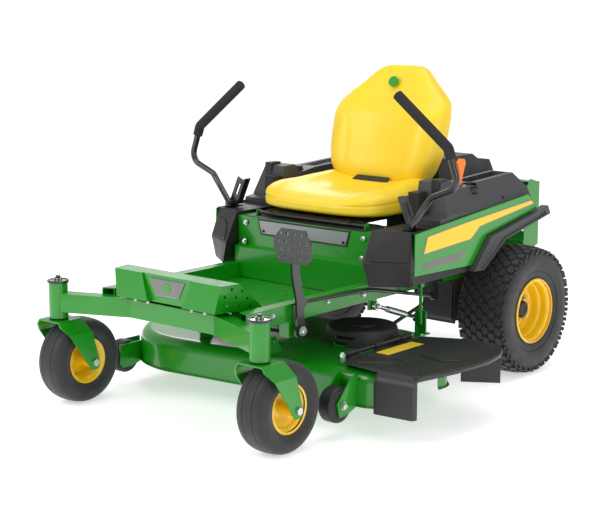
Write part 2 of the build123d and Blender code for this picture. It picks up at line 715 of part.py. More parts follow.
def lug_place(k):
    """Y and Z of a lug bolt."""
    a = pi / 4 + 2 * pi * k / LUG_COUNT
    return LUG_CIRCLE_R * 0.86 * cos(a), REAR_TYRE_R + LUG_CIRCLE_R * 0.86 * sin(a)


def rear_hub():
    """Axle shaft, hub flange, hub cap and lug bolts."""
    c = (0, REAR_TYRE_R)
    hub = rod((232, *c), (REAR_X - 10, *c), 15.0)
    hub += rod((REAR_X - 12, *c), (REAR_X + 2, *c), 58.0)
    hub += rod((REAR_X - 12, *c), (REAR_X + 40, *c), 23.5)
    hub += rod((REAR_X + 6.2, *c), (REAR_X + 34, *c), 30.0)
    for k in range(LUG_COUNT):
        y, z = lug_place(k)
        hub += rod((REAR_X - 12, y, z), (REAR_X + 24, y, z), LUG_R)
        hub += rod((REAR_X + 6.2, y, z), (REAR_X + 17, y, z), 9.5)
    return hub


def front_tyre():
    """Smooth caster tyre."""
    return tyre((CASTER_X, FRONT_AXLE_Y, FRONT_TYRE_R), FRONT_TYRE_R, FRONT_TYRE_W, FRONT_RIM_R - 5,
                FRONT_RIM_W / 2 - 12, 9.0)


def front_rim():
    """Rolled rim on a hub tube that turns on the axle bolt."""
    centre = (CASTER_X, FRONT_AXLE_Y, FRONT_TYRE_R)
    half = FRONT_RIM_W / 2
    r = FRONT_RIM_R
    line = [(-half, r), (-half + 3, r - 9), (-half + 14, r - 12), (-half + 22, r - 22),
            (half - 22, r - 22), (half - 14, r - 12), (half - 3, r - 9), (half, r)]
    rim = turned(ribbon(line, 3.0), centre)
    rim += turned(ribbon([(0, r - 21), (6, r - 34), (0, 16)], 4.0), centre)
    y, z = centre[1], centre[2]
    tube = rod((CASTER_X - 66, y, z), (CASTER_X + 66, y, z), 19.0)
    rim += tube
    return rim - rod((CASTER_X - 80, y, z), (CASTER_X + 80, y, z), AXLE_BOLT_R + RUN)


def fork():
    """Bent plate fork with tapered legs and its stem."""
    half = FORK_HALF_W - FORK_T / 2
    top = FORK_TOP_Z - FORK_T / 2
    low = FRONT_TYRE_R - 24
    line = [(CASTER_X - half, low), (CASTER_X - half, top - 42), (CASTER_X - 46, top),
            (CASTER_X + 46, top), (CASTER_X + half, top - 42), (CASTER_X + half, low)]
    plate = prism(ribbon(line, FORK_T), "y", CASTER_Y - 60, FRONT_AXLE_Y + 40)
    side = [(CASTER_Y - 44, FORK_TOP_Z + 5), (CASTER_Y + 52, FORK_TOP_Z + 5), (FRONT_AXLE_Y - 8, 246),
            (FRONT_AXLE_Y + 20, FRONT_TYRE_R + 8),
            (FRONT_AXLE_Y + 20, FRONT_TYRE_R - 12), (FRONT_AXLE_Y + 10, low - 2),
            (FRONT_AXLE_Y - 12, low - 2), (FRONT_AXLE_Y - 22, FRONT_TYRE_R - 10),
            (CASTER_Y - 18, 238),
            (CASTER_Y - 44, 270)]
    plate &= prism(side, "x", CASTER_X - 90, CASTER_X + 90)
    plate -= rod((CASTER_X - 90, FRONT_AXLE_Y, FRONT_TYRE_R),
                 (CASTER_X + 90, FRONT_AXLE_Y, FRONT_TYRE_R), AXLE_BOLT_R)
    plate += rod((CASTER_X, CASTER_Y, FORK_TOP_Z - FORK_T), (CASTER_X, CASTER_Y, CASTER_TUBE_TOP + 12),
                 STEM_R)
    return plate


def hexagon(centre, axis, across, height):
    """Bolt head or nut standing on a point."""
    plane = Plane(origin=centre, z_dir=axis)
    return Part() + extrude(plane * RegularPolygon(across / sqrt(3), 6), amount=height)


def caster_hardware():
    """Top washer and nut, lower dust ring, and the wheel's axle bolt."""
    x = CASTER_X
    top = CASTER_TUBE_TOP + GAP
    cap = rod((x, CASTER_Y, top), (x, CASTER_Y, top + 5), 34.0)
    cap -= rod((x, CASTER_Y, top - 1), (x, CASTER_Y, top + 6), STEM_R)
    nut = hexagon((x, CASTER_Y, top + 5), (0, 0, 1), NUT_AF, 9.0)
    nut -= rod((x, CASTER_Y, top), (x, CASTER_Y, top + 20), STEM_R - 1)
    nut -= rod((x, CASTER_Y, top), (x, CASTER_Y, top + 12), STEM_R)
    ring = rod((x, CASTER_Y, FORK_TOP_Z), (x, CASTER_Y, CASTER_TUBE_Z - GAP),
               28.0) - rod((x, CASTER_Y, FORK_TOP_Z - 1), (x, CASTER_Y, CASTER_TUBE_Z), STEM_R)
    y, z = FRONT_AXLE_Y, FRONT_TYRE_R
    bolt = rod((x - FORK_HALF_W, y, z), (x + FORK_HALF_W, y, z), AXLE_BOLT_R)
    bolt += hexagon((x + FORK_HALF_W, y, z), (1, 0, 0), AXLE_HEAD_AF, 8.0)
    bolt += hexagon((x - FORK_HALF_W, y, z), (-1, 0, 0), AXLE_HEAD_AF, 8.0)
    return Compound(children=[*cap.solids(), *nut.solids(), *ring.solids(), *bolt.solids()])


# ---------------------------------------------------------------- controls
def lever_path(points, radii):
    """Bent tube line in the lever's plane."""
    return FilletPolyline(*[(x, LEVER_Y, z) for x, z in points], radius=radii)


def lever_tube():
    """Bent steel lever with its bolt hole."""
    path = lever_path(LEVER_POINTS, LEVER_BENDS)
    tube = Part() + sweep((path ^ 0) * Circle(LEVER_TUBE_R), path=path)
    foot = rod((LEVER_BASE_X, LEVER_Y - LEVER_TUBE_R, LEVER_BASE_Z),
               (LEVER_BASE_X, LEVER_Y + LEVER_TUBE_R, LEVER_BASE_Z), 13.0)
    tube += foot
    return tube - rod((LEVER_BASE_X, LEVER_Y - 30, LEVER_BASE_Z),
                      (LEVER_BASE_X, LEVER_Y + 30, LEVER_BASE_Z), LEVER_BOLT_R + RUN)


def lever_grip():
    """Foam sleeve over the lever's upper end."""
    ex, ez = LEVER_POINTS[-1]
    bx, bz = LEVER_POINTS[-2]
    length = hypot(ex - bx, ez - bz)
    tip = (ex + (ex - bx) / length * 10, ez + (ez - bz) / length * 10)
    path = lever_path([GRIP_START, LEVER_POINTS[-2], tip], [24])
    outer = Part() + sweep((path ^ 0) * Circle(GRIP_R), path=path)
    core = lever_path(LEVER_POINTS, LEVER_BENDS)
    return outer - (Part() + sweep((core ^ 0) * Circle(LEVER_TUBE_R), path=core))


def lever_bracket():
    """Drive arm: control shaft, upright and the leaning slotted guide."""
    y0 = LEVER_Y + LEVER_TUBE_R + SIDE
    y1 = y0 + 8
    arm = rod((SIDE_PLATE_X - 16, LEVER_AXIS_Y, LEVER_AXIS_Z),
              (LEVER_BASE_X + 6, LEVER_AXIS_Y, LEVER_AXIS_Z), 9.0)
    arm += prism([(LEVER_BASE_X - 14, LEVER_AXIS_Z - 12), (LEVER_BASE_X + 8, LEVER_AXIS_Z - 12),
                  (LEVER_BASE_X + 14, LEVER_BASE_Z + 6),
                  (LEVER_BASE_X - 16, LEVER_BASE_Z + 6)], "y", y0, y1)
    guide = prism(ribbon([(LEVER_BASE_X, LEVER_BASE_Z - 8), (LEVER_BASE_X - 44, LEVER_BASE_Z + 92)],
                         36), "y", y0, y1)
    slot = prism(ribbon([(LEVER_BASE_X - 17, LEVER_BASE_Z + 32),
                         (LEVER_BASE_X - 36, LEVER_BASE_Z + 74)], 11), "y", y0 - 1, y1 + 1)
    flange = prism(ribbon([(LEVER_BASE_X - 20, LEVER_BASE_Z), (LEVER_BASE_X - 61, LEVER_BASE_Z + 92)],
                          4), "y", y0, y1 + 22)
    arm += guide - slot
    arm += flange
    arm += rod((LEVER_BASE_X, LEVER_Y - LEVER_TUBE_R - SIDE, LEVER_BASE_Z),
               (LEVER_BASE_X, y1, LEVER_BASE_Z), LEVER_BOLT_R)
    arm += hexagon((LEVER_BASE_X, LEVER_Y - LEVER_TUBE_R - SIDE, LEVER_BASE_Z), (0, -1, 0),
                   LEVER_HEAD_AF, 5.0)
    return arm


def lift_pedal():
    """Flat pedal arm with the perforated pad folded across its top."""
    x0, x1 = PEDAL_X, PEDAL_X + PEDAL_T
    line = [(PEDAL_Y, PEDAL_Z - 18), (PEDAL_Y, PEDAL_Z + 30), (PEDAL_Y - 3, PEDAL_Z + 100),
            (PEDAL_Y - 22, PEDAL_Z + 180),
            (PEDAL_Y - 26, PEDAL_Z + 300)]
    arm = prism(ribbon(line, 34), "x", x0, x1)
    joint = (PEDAL_Y + PEDAL_ROD_DY, PEDAL_Z + PEDAL_ROD_DZ)
    arm += rod((x0, *joint), (x1, *joint), 15.0)
    arm += rod((x0, PEDAL_Y, PEDAL_Z), (x1, PEDAL_Y, PEDAL_Z), 24.0)
    arm -= rod((x0 - 1, PEDAL_Y, PEDAL_Z), (x1 + 1, PEDAL_Y, PEDAL_Z), 9.0 + RUN)
    arm += rod((ROD_X - ROD_R - 2, *joint), (x0 + 1, *joint), 5.0)
    pad_y = PEDAL_Y - 44
    low, high = PAD_Z
    pad = prism([(290, low), (400, low), (418, low + 14), (418, low + 66), (394, high), (302, high),
                 (270, high - 34), (270, low + 40)], "y", pad_y - 4, pad_y)
    for row in range(4):
        for col in range(5):
            x = 290 + col * 27 + (row % 2) * 8
            z = low + 20 + row * 23
            pad -= rod((x, pad_y - 6, z), (x, pad_y + 2, z), PAD_HOLE_R)
    arm += pad
    arm += box(x0, x1, pad_y - 1, PEDAL_Y - 30, low + 10, high - 12)
    return arm


def rod_ends():
    """Front and rear joints of the lift rod in side view."""
    front = (PEDAL_Y + PEDAL_ROD_DY, PEDAL_Z + PEDAL_ROD_DZ)
    rear = (SHAFT_Y, SHAFT_Z - SHAFT_DROP)
    return front, rear


def lift_rod():
    """Long rod along the rail, with an eye at each end."""
    front, rear = rod_ends()
    path = FilletPolyline((ROD_X, *front), (ROD_X, -677, 381), (ROD_X, *rear), radius=400)
    bar = Part() + sweep((path ^ 0) * Circle(ROD_R), path=path)
    bar += rod((ROD_X - ROD_R, *front), (ROD_X + ROD_R, *front), 13.0)
    bar += rod((ROD_X - ROD_R, *rear), (ROD_X + ROD_R, *rear), 13.0)
    bar -= rod((ROD_X - 10, *front), (ROD_X + 10, *front), 5.0 + RUN)
    return bar - rod((ROD_X - 10, *rear), (ROD_X + 10, *rear), 7.5)


def lift_shaft():
    """Cross shaft with the rod's arm and two lift arms."""
    reach = LIFT_ARM_X
    shaft = rod((-reach, SHAFT_Y, SHAFT_Z), (reach, SHAFT_Y, SHAFT_Z), SHAFT_R)
    drop = (SHAFT_Y, SHAFT_Z - SHAFT_DROP)
    shaft += prism(ribbon([(SHAFT_Y, SHAFT_Z), drop], 26), "x", ROD_X + ROD_R + SIDE,
                   ROD_X + ROD_R + SIDE + 5)
    shaft += rod((ROD_X + ROD_R + SIDE, *drop), (ROD_X + ROD_R + SIDE + 5, *drop), 13.0)
    for sign in SIDES.values():
        x0, x1 = sorted((sign * (reach - 8), sign * (reach - 2)))
        end = SHAFT_Y - LIFT_ARM
        shaft += prism([(SHAFT_Y + 16, SHAFT_Z - 14), (SHAFT_Y + 16, SHAFT_Z + 14), (end, SHAFT_Z + 9),
                        (end, SHAFT_Z - 9)], "x", x0, x1)
    return shaft


def drag_link():
    """Turnbuckle between the rail and the deck's lift bracket."""
    x = RAIL_OUT_X + 12
    (fy, fz), (ry, rz) = DRAG_FRONT, DRAG_REAR
    way = Vector(0, ry - fy, rz - fz).normalized()
    link = rod((x, fy, fz), (x, ry, rz), DRAG_R)
    start = Vector(x, fy, fz) + way * 60
    end = Vector(x, fy, fz) + way * 165
    link += rod(tuple(start), tuple(end), 11.0)
    link += rod((x - 6, fy, fz), (x + 6, fy, fz), 15.0)
    link += rod((x - 6, ry, rz), (x + 6, ry, rz), 15.0)
    return link - rod((x - 10, fy, fz), (x + 10, fy, fz), DRAG_PIN_R + RUN)


def throttle_lever():
    """Bent flat throttle handle on its pivot."""
    x0, x1 = THROTTLE_X - 3, THROTTLE_X + 3
    blade = [(-262, 636), (-238, 636), (-240, 690), (-234, 712), (-218, 752), (-224, 766), (-256, 770),
             (-266, 758), (-250, 716), (-256, 690)]
    lever = prism(blade, "x", x0, x1)
    lever += rod((x0 - 5, THROTTLE_Y, THROTTLE_Z), (x1 + 5, THROTTLE_Y, THROTTLE_Z), THROTTLE_PIN_R)
    return lever


def control_knob():
    """Round knob with a finger bar."""
    x, y, z = KNOB
    knob = rod((x, y, z - 8), (x, y, z + 14), KNOB_R)
    knob = fillet(knob.edges().group_by(Axis.Z)[-1], 6)
    knob -= box(x - 30, x - 6, y - 30, y + 30, z + 6, z + 20)
    knob -= box(x + 6, x + 30, y - 30, y + 30, z + 6, z + 20)
    return knob


# ---------------------------------------------------------------- deck
def deck_circles(grow):
    """Circles that the deck's outline is drawn round."""
    corner = 60.0
    circles = [(x, y, DECK_R + grow) for x, y in SPINDLES.values()]
    circles.append((DECK_SIDE_X - corner, DECK_FRONT_CORNER_Y + corner, corner + grow))
    circles.append((DECK_SIDE_X - corner, -610.0, corner + grow))
    return circles


def deck_shell():
    """Pressed deck with a rolled lip, discharge opening and spindle housings."""
    outer = slab(hull_face(deck_circles(0)), DECK_LIP_Z, DECK_TOP_Z)
    outer = fillet(outer.faces().sort_by(Axis.Z)[-1].edges(), DECK_SHOULDER_R)
    inner = slab(hull_face(deck_circles(-DECK_T)), DECK_LIP_Z - 1, DECK_TOP_Z - DECK_T)
    inner = fillet(inner.faces().sort_by(Axis.Z)[-1].edges(), DECK_SHOULDER_R - DECK_T)
    shell = outer - inner
    lip = slab(hull_face(deck_circles(7)), DECK_LIP_Z - 3,
               DECK_LIP_Z + 1) - slab(hull_face(deck_circles(-1)), DECK_LIP_Z - 5, DECK_LIP_Z + 5)
    shell += lip
    shell -= box(DECK_SIDE_X - 60, DECK_SIDE_X + 20, -930, -640, DECK_LIP_Z - 10, DECK_TOP_Z - 38)
    for x, y in SPINDLES.values():
        shell += rod((x, y, BLADE_Z + 16), (x, y, DECK_TOP_Z + 8), 34.0)
        shell += rod((x, y, DECK_TOP_Z - 2), (x, y, DECK_TOP_Z + 4), 62.0)
        shell -= rod((x, y, BLADE_Z), (x, y, DECK_TOP_Z + 20), SPINDLE_R + RUN)
    return shell


def deck_brackets():
    """Roller forks, rear lift brackets with hangers, chute hinge and front link."""
    brackets = Part()
    half = ROLLER_W / 2 + SIDE
    low = ROLLER_Z - 34
    outlines = {
        1: [(-925, 186), (-925, 92), (-950, 92), (ROLLER_Y + 14, low), (ROLLER_Y - 16, low),
            (ROLLER_Y - 26, ROLLER_Z + 10), (-985, 186)],
        -1: [(-925, 150), (-925, 92), (-950, 88), (ROLLER_Y + 14, low), (ROLLER_Y - 30, low),
             (ROLLER_Y - 42, low + 14), (ROLLER_Y - 42, 150)],
    }
    for sign in SIDES.values():
        for inner in (half, -half - 5):
            x0 = ROLLER_X + inner
            x1 = x0 + 5
            x0, x1 = sorted((sign * x0, sign * x1))
            plate = prism(outlines[sign], "x", x0, x1)
            plate -= slab(hull_face(deck_circles(0)), 0, DECK_TOP_Z)
            plate -= slab(hull_face(deck_circles(7)), DECK_LIP_Z - 3, DECK_LIP_Z + 1)
            brackets += plate
        end = half + 5
        bolt = rod((sign * (ROLLER_X - end - 8), ROLLER_Y, ROLLER_Z),
                   (sign * (ROLLER_X + end + 8), ROLLER_Y, ROLLER_Z), ROLLER_BOLT_R)
        bolt += hexagon((sign * (ROLLER_X + end), ROLLER_Y, ROLLER_Z), (sign, 0, 0), ROLLER_HEAD_AF, 7.0)
        brackets += bolt
        x0, x1 = sorted((sign * 336, sign * 341))
        lift = prism([(-450, DECK_TOP_Z), (-405, DECK_TOP_Z), (-405, 270), (-415, 282), (-450, 278)],
                     "x", x0, x1)
        lift += box(*sorted((sign * 336, sign * 372)), -438, -433, DECK_TOP_Z, 276)
        lift += box(*sorted((sign * 330, sign * 376)), -512, -415, DECK_TOP_Z, DECK_TOP_Z + 4)
        hanger_x = sign * 359
        lift += rod((hanger_x, SHAFT_Y - LIFT_ARM, 232), (hanger_x, SHAFT_Y - LIFT_ARM, SHAFT_Z), 6.0)
        low, high = sorted((sign * 352, sign * 366))
        lift += rod((low, SHAFT_Y - LIFT_ARM, SHAFT_Z), (high, SHAFT_Y - LIFT_ARM, SHAFT_Z), 11.0)
        brackets += lift
        x0, x1 = sorted((sign * 150, sign * 155))
        brackets += prism([(-975, DECK_TOP_Z), (-915, DECK_TOP_Z), (-945, 248), (-972, 252)], "x", x0, x1)
    brackets += rod((-170, -962, 238), (170, -962, 238), 6.0)
    for y in (-912.0, -566.0):
        y0, y1 = (y - 6, y)
        ear = prism([(CHUTE_HINGE_X - 11, DECK_TOP_Z), (CHUTE_HINGE_X + 11, DECK_TOP_Z),
                     (CHUTE_HINGE_X + 8, CHUTE_HINGE_Z + 9),
                     (CHUTE_HINGE_X - 8, CHUTE_HINGE_Z + 9)], "y", y0, y1)
        brackets += ear
    brackets += rod((CHUTE_HINGE_X, -922, CHUTE_HINGE_Z), (CHUTE_HINGE_X, -562, CHUTE_HINGE_Z),
                    CHUTE_PIN_R)
    return brackets


def belt_circles(grow):
    """Circles that the deck belt runs round."""
    circles = [(x, y, PULLEY_R + GAP + grow) for x, y in SPINDLES.values()]
    circles.append((0, ENGINE_Y, ENGINE_PULLEY_R + GAP + grow))
    return circles


def deck_belt():
    """Belt from the clutch pulley round both spindle pulleys."""
    outside = slab(hull_face(belt_circles(9)), BELT_Z - 5, BELT_Z + 5)
    return outside - slab(hull_face(belt_circles(0)), BELT_Z - 6, BELT_Z + 6)



def belt_covers():
    """Round covers over the spindle pulleys, open where the belt leaves."""
    corridor = slab(hull_face(belt_circles(16)), DECK_TOP_Z - 1, BELT_Z + 14)
    covers = Part()
    up = (Align.CENTER, Align.CENTER, Align.MIN)
    for x, y in SPINDLES.values():
        z = DECK_TOP_Z
        y += COVER_SHIFT
        outer = Pos(x, y, z) * Cone(COVER_R, COVER_R - 12, COVER_H, align=up)
        outer = fillet(outer.edges().group_by(Axis.Z)[-1], 9)
        inner = Pos(x, y, z - 1) * Cone(COVER_R - SHEET_T, COVER_R - 15, COVER_H - 2, align=up)
        outer += Pos(x, y, z + COVER_H - 4) * Cylinder(52, 10, align=up)
        sign = 1 if x > 0 else -1
        tail_plan = [(x - sign * 40, y + 60), (x - sign * 190, y - 20), (x - sign * 190, y - 90),
                     (x - sign * 60, y - 110)]
        tail = prism(tail_plan, "z", z, z + 34)
        hollow = prism(tail_plan, "z", z - 1, z + 31)
        rim = 1 - SHEET_T / 60
        hollow = Pos(x - sign * 110, y - 40, 0) * scale(Pos(sign * 110 - x, 40 - y, 0) * hollow,
                                                        by=(rim, rim, 1))
        covers += (outer + tail) - inner - hollow - corridor
    return covers


def blade(side):
    """Spindle with its blade and pulley."""
    x, y = SPINDLES[side]
    shaft = rod((x, y, BLADE_Z - 14), (x, y, BELT_Z + 22), SPINDLE_R)
    bar = box(x - BLADE_LEN / 2, x + BLADE_LEN / 2, y - 28, y + 28, BLADE_Z - 4, BLADE_Z)
    bar &= rod((x, y, BLADE_Z - 6), (x, y, BLADE_Z + 6), BLADE_LEN / 2)
    for sign in (-1, 1):
        tip = BLADE_LEN / 2 - 90
        low, high = sorted((x + sign * tip, x + sign * (BLADE_LEN / 2 - 12)))
        sail = prism([(sign * 28 + y, BLADE_Z - 4), (sign * 28 + y, BLADE_Z),
                      (sign * 46 + y, BLADE_Z + 16), (sign * 48 + y, BLADE_Z + 13)], "x", low, high)
        bar += sail
    shaft += bar
    shaft += rod((x, y, BLADE_Z), (x, y, BLADE_Z + 12), 30.0)
    shaft += hexagon((x, y, BLADE_Z - 4), (0, 0, -1), 28.0, 12.0)
    shaft += rod((x, y, BELT_Z - 7), (x, y, BELT_Z + 7), PULLEY_R)
    return shaft


def roller():
    """Anti-scalp roller on its bolt."""
    x0, x1 = ROLLER_X - ROLLER_W / 2, ROLLER_X + ROLLER_W / 2
    wheel = rod((x0, ROLLER_Y, ROLLER_Z), (x1, ROLLER_Y, ROLLER_Z), ROLLER_R)
    wheel = fillet(wheel.edges(), 12)
    return wheel - rod((x0 - 1, ROLLER_Y, ROLLER_Z), (x1 + 1, ROLLER_Y, ROLLER_Z), ROLLER_BOLT_R + RUN)


def chute_outline(inset):
    """Plan of the chute's top."""
    points = [(CHUTE_HINGE_X + 12, -905), (440, -972), (590, -988), (CHUTE_OUT_X - 44, -976),
              (CHUTE_OUT_X - 10, -800),
              (CHUTE_OUT_X, -650), (CHUTE_OUT_X - 22, -540),
              (CHUTE_OUT_X - 66, -478), (CHUTE_OUT_X - 120, -460),
              (560, -452), (CHUTE_HINGE_X + 12, -520)]
    return [(x - inset * (1 if x > 560 else -1), y + inset * (1 if y < -700 else -1)) for x, y in points]


def rolled(body, radius):
    """Round the top edges over the chute's front wall."""
    edges = body.edges().filter_by(Plane.XY).group_by(Axis.Z)[-1]
    return fillet([e for e in edges if e.center().Y < -960], radius)


def chute():
    """Hinged grass chute: top plate, curved front wall, rear wall and knuckles."""
    top = CHUTE_TOP_Z
    far = CHUTE_OUT_X + 10
    body = rolled(prism(chute_outline(0), "z", CHUTE_LOW_Z, top), CHUTE_ROLL_R)
    hollow = rolled(prism(chute_outline(CHUTE_T), "z", CHUTE_LOW_Z - 20, top - CHUTE_T),
                    CHUTE_ROLL_R - CHUTE_T)
    shell = body - hollow
    shell -= box(640, far, -958, -430, 40, top - CHUTE_LIP)
    shell -= box(CHUTE_HINGE_X - 10, DECK_SIDE_X + 9, -1000, -400, 40, top - CHUTE_T - 1)
    shell -= box(CHUTE_HINGE_X - 10, far, -700, -400, 40, top - CHUTE_LIP - 2)
    shell += prism(ribbon([(600, -560), (706, -492)], CHUTE_T), "z", 100, top - 1)
    for y0, y1 in ((-904, -850), (-760, -710), (-622, -574)):
        knuckle = rod((CHUTE_HINGE_X, y0, CHUTE_HINGE_Z), (CHUTE_HINGE_X, y1, CHUTE_HINGE_Z), 9.5)
        knuckle += box(CHUTE_HINGE_X, CHUTE_HINGE_X + 30, y0, y1, top - CHUTE_T, top + 4)
        shell += knuckle
    pin = rod((CHUTE_HINGE_X, -1000, CHUTE_HINGE_Z), (CHUTE_HINGE_X, -500, CHUTE_HINGE_Z),
              CHUTE_PIN_R + RUN)
    return shell - pin


# ---------------------------------------------------------------- seat
def seat_pan():
    """Hinged steel pan under the seat, with rubber stops."""
    z0 = SEAT_HINGE_Z + 5
    pan = box(-215, 215, SEAT_HINGE_Y + 12, -150, z0, z0 + 5)
    pan += rod((-170, SEAT_HINGE_Y, SEAT_HINGE_Z), (170, SEAT_HINGE_Y, SEAT_HINGE_Z), 9.0)
    pan += box(-170, 170, SEAT_HINGE_Y, SEAT_HINGE_Y + 20, z0, z0 + 5)
    pan -= rod((-400, SEAT_HINGE_Y, SEAT_HINGE_Z), (400, SEAT_HINGE_Y, SEAT_HINGE_Z), SEAT_PIN_R + RUN)
    for sign in SIDES.values():
        stop = rod((sign * 150, -152, z0 - 14), (sign * 150, -152, z0 + 1), 14.0)
        pan += stop & box(-215, 215, -175, -130, SEAT_FLOOR_Z + 0.6, z0 + 2)
    return pan


def seat_cushion():
    """Plain cushion with a waterfall front."""
    base = SEAT_HINGE_Z + 11
    outline = [(-596, base + 8), (-560, base), (-190, base), (-150, 604), (-205, 690), (-330, 676),
               (-470, 676), (-560, 664), (-603, 622)]
    cushion = prism(outline, "x", -SEAT_HALF_W, SEAT_HALF_W)
    plan = [(-200, -604), (200, -604), (SEAT_HALF_W, -520), (SEAT_HALF_W, -330), (228, -140),
            (-228, -140), (-SEAT_HALF_W, -330), (-SEAT_HALF_W, -520)]
    return cushion & prism(plan, "z", 560, 700)


def seat_back():
    """Plain back rest with a tapered head."""
    side = [(-262, 692), (-208, 696), (-148, 640), (-108, 660), (-62, 900), (-30, 1030),
            (-40, SEAT_TOP_Z),
            (-82, SEAT_TOP_Z - 4), (-112, 1030), (-206, 850), (-252, 740)]
    back = prism(side, "x", -SEAT_HALF_W, SEAT_HALF_W)
    half = [(228, 630), (236, 700), (SEAT_HALF_W - 6, 800), (SEAT_HALF_W - 6, 900), (222, 960),
            (150, 1015),
            (105, SEAT_TOP_Z + 2)]
    front = half + [(-x, z) for x, z in half[::-1]]
    return back & prism(front, "y", -340, 0)


# ---------------------------------------------------------------- assembly
def build_nodes():
    """Every node by name, in the machine frame."""
    nodes = {
        "front_beam": front_beam(),
        "frame_rails": frame_rails(),
        "floor_pan": floor_pan(),
        "footrest": footrest(),
        "trim_plates": trim_plates(),
        "toe_board": toe_board(),
        "arch_trims": arch_trim() + mirrored(arch_trim(), "right"),
        "console_left": console_left(),
        "console_right": console_right(),
        "fuel_tank": fuel_tank(),
        "fuel_cap": fuel_cap(),
        "rear_guard": rear_guard(),
        "engine_block": engine_block(),
        "engine_cover": engine_cover(),
        "muffler": muffler(),
        "battery": battery(),
        "transaxles": transaxles(),
        "engine_pulley": engine_pulley(),
        "lift_pedal": lift_pedal(),
        "lift_rod": lift_rod(),
        "lift_shaft": lift_shaft(),
        "drag_link": drag_link(),
        "throttle_lever": throttle_lever(),
        "control_knob": control_knob(),
        "deck_shell": deck_shell(),
        "deck_brackets": deck_brackets(),
        "deck_belt": deck_belt(),
        "belt_covers": belt_covers(),
        "chute": chute(),
        "seat_pan": seat_pan(),
        "seat_cushion": seat_cushion(),
        "seat_back": seat_back(),
    }
    makers = {
        "pod": fender_pod,
        "side_panel": side_panel,
        "fork": fork,
        "caster_hardware": caster_hardware,
        "front_tyre": front_tyre,
        "front_rim": front_rim,
        "rear_tyre": rear_tyre,
        "rear_rim": rear_rim,
        "rear_hub": rear_hub,
        "lever_bracket": lever_bracket,
        "lever_tube": lever_tube,
        "lever_grip": lever_grip,
        "roller": roller,
    }
    for side in SIDES:
        for name, make in makers.items():
            nodes[f"{name}_{side}"] = mirrored(make(), side)
        nodes[f"blade_{side}"] = blade(side)
    return nodes


def frame_shift(nodes):
    """Move that puts the bottom centre of the overall box at the origin."""
    boxes = [node.bounding_box() for node in nodes.values()]
    x = (min(b.min.X for b in boxes) + max(b.max.X for b in boxes)) / 2
    y = (min(b.min.Y for b in boxes) + max(b.max.Y for b in boxes)) / 2
    z = min(b.min.Z for b in boxes)
    return (-x, -y, -z)


def export_nodes():
    """Write one STEP file per node."""
    os.makedirs("parts", exist_ok=True)
    nodes = build_nodes()
    shift = frame_shift(nodes)
    print("frame shift", [round(s, 4) for s in shift])
    for name, node in nodes.items():
        solids = [solid.moved(Location(shift)) for solid in node.solids()]
        export_step(Compound(children=solids), f"parts/{name}.step")
    return shift


SHIFT = export_nodes()
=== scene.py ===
"""Visual model of a zero turn mower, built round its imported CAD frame.

Shapes are laid out in the machine frame: millimetres, X = 0 on the centre plane,
Y = 0 on the rear axle, Z = 0 on the ground, facing -Y. Workshop.place moves a
finished mesh into the row frame, in metres.
"""
import logging
import math
from dataclasses import dataclass
from enum import Enum
from typing import Sequence

import bmesh
import bpy
from bmesh.types import BMesh, BMVert
from bpy.types import Material, Object
from mathutils import Matrix, Vector


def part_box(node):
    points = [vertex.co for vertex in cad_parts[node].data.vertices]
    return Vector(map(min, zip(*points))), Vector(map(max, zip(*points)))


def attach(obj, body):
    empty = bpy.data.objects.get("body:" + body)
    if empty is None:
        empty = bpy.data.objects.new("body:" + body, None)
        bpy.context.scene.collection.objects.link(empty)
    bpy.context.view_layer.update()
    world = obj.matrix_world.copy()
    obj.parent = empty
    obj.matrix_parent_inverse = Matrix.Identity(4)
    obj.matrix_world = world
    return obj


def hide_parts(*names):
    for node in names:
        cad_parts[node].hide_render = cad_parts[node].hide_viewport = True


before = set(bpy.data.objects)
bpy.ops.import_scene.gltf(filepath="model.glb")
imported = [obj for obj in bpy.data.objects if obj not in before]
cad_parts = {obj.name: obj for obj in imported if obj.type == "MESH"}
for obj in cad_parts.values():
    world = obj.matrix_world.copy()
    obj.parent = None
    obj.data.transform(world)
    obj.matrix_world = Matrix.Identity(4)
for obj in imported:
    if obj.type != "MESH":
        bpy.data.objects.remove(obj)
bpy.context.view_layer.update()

LOG = logging.getLogger("mower")
MM = 0.001
WASHER_T = 1.6            # thickness of a washer, in millimetres
HEAD_HIGH = 0.34          # a bolt head's sizes as shares of its width across flats
HEAD_TOP = 0.46
HEAD_CORNER = 0.577
HEAD_TIP = 0.44
Point = Sequence[float]


class Side(Enum):
    """The two sides of the machine; the chute is on the left one, +X."""

    LEFT = 1
    RIGHT = -1

    @property
    def word(self) -> str:
        """The side's name as CAD nodes spell it."""
        return self.name.lower()


class Axis(Enum):
    """A straight direction of the machine frame."""

    X = (1.0, 0.0, 0.0)
    Z = (0.0, 0.0, 1.0)

    @property
    def way(self) -> Vector:
        """The direction as a vector."""
        return Vector(self.value)


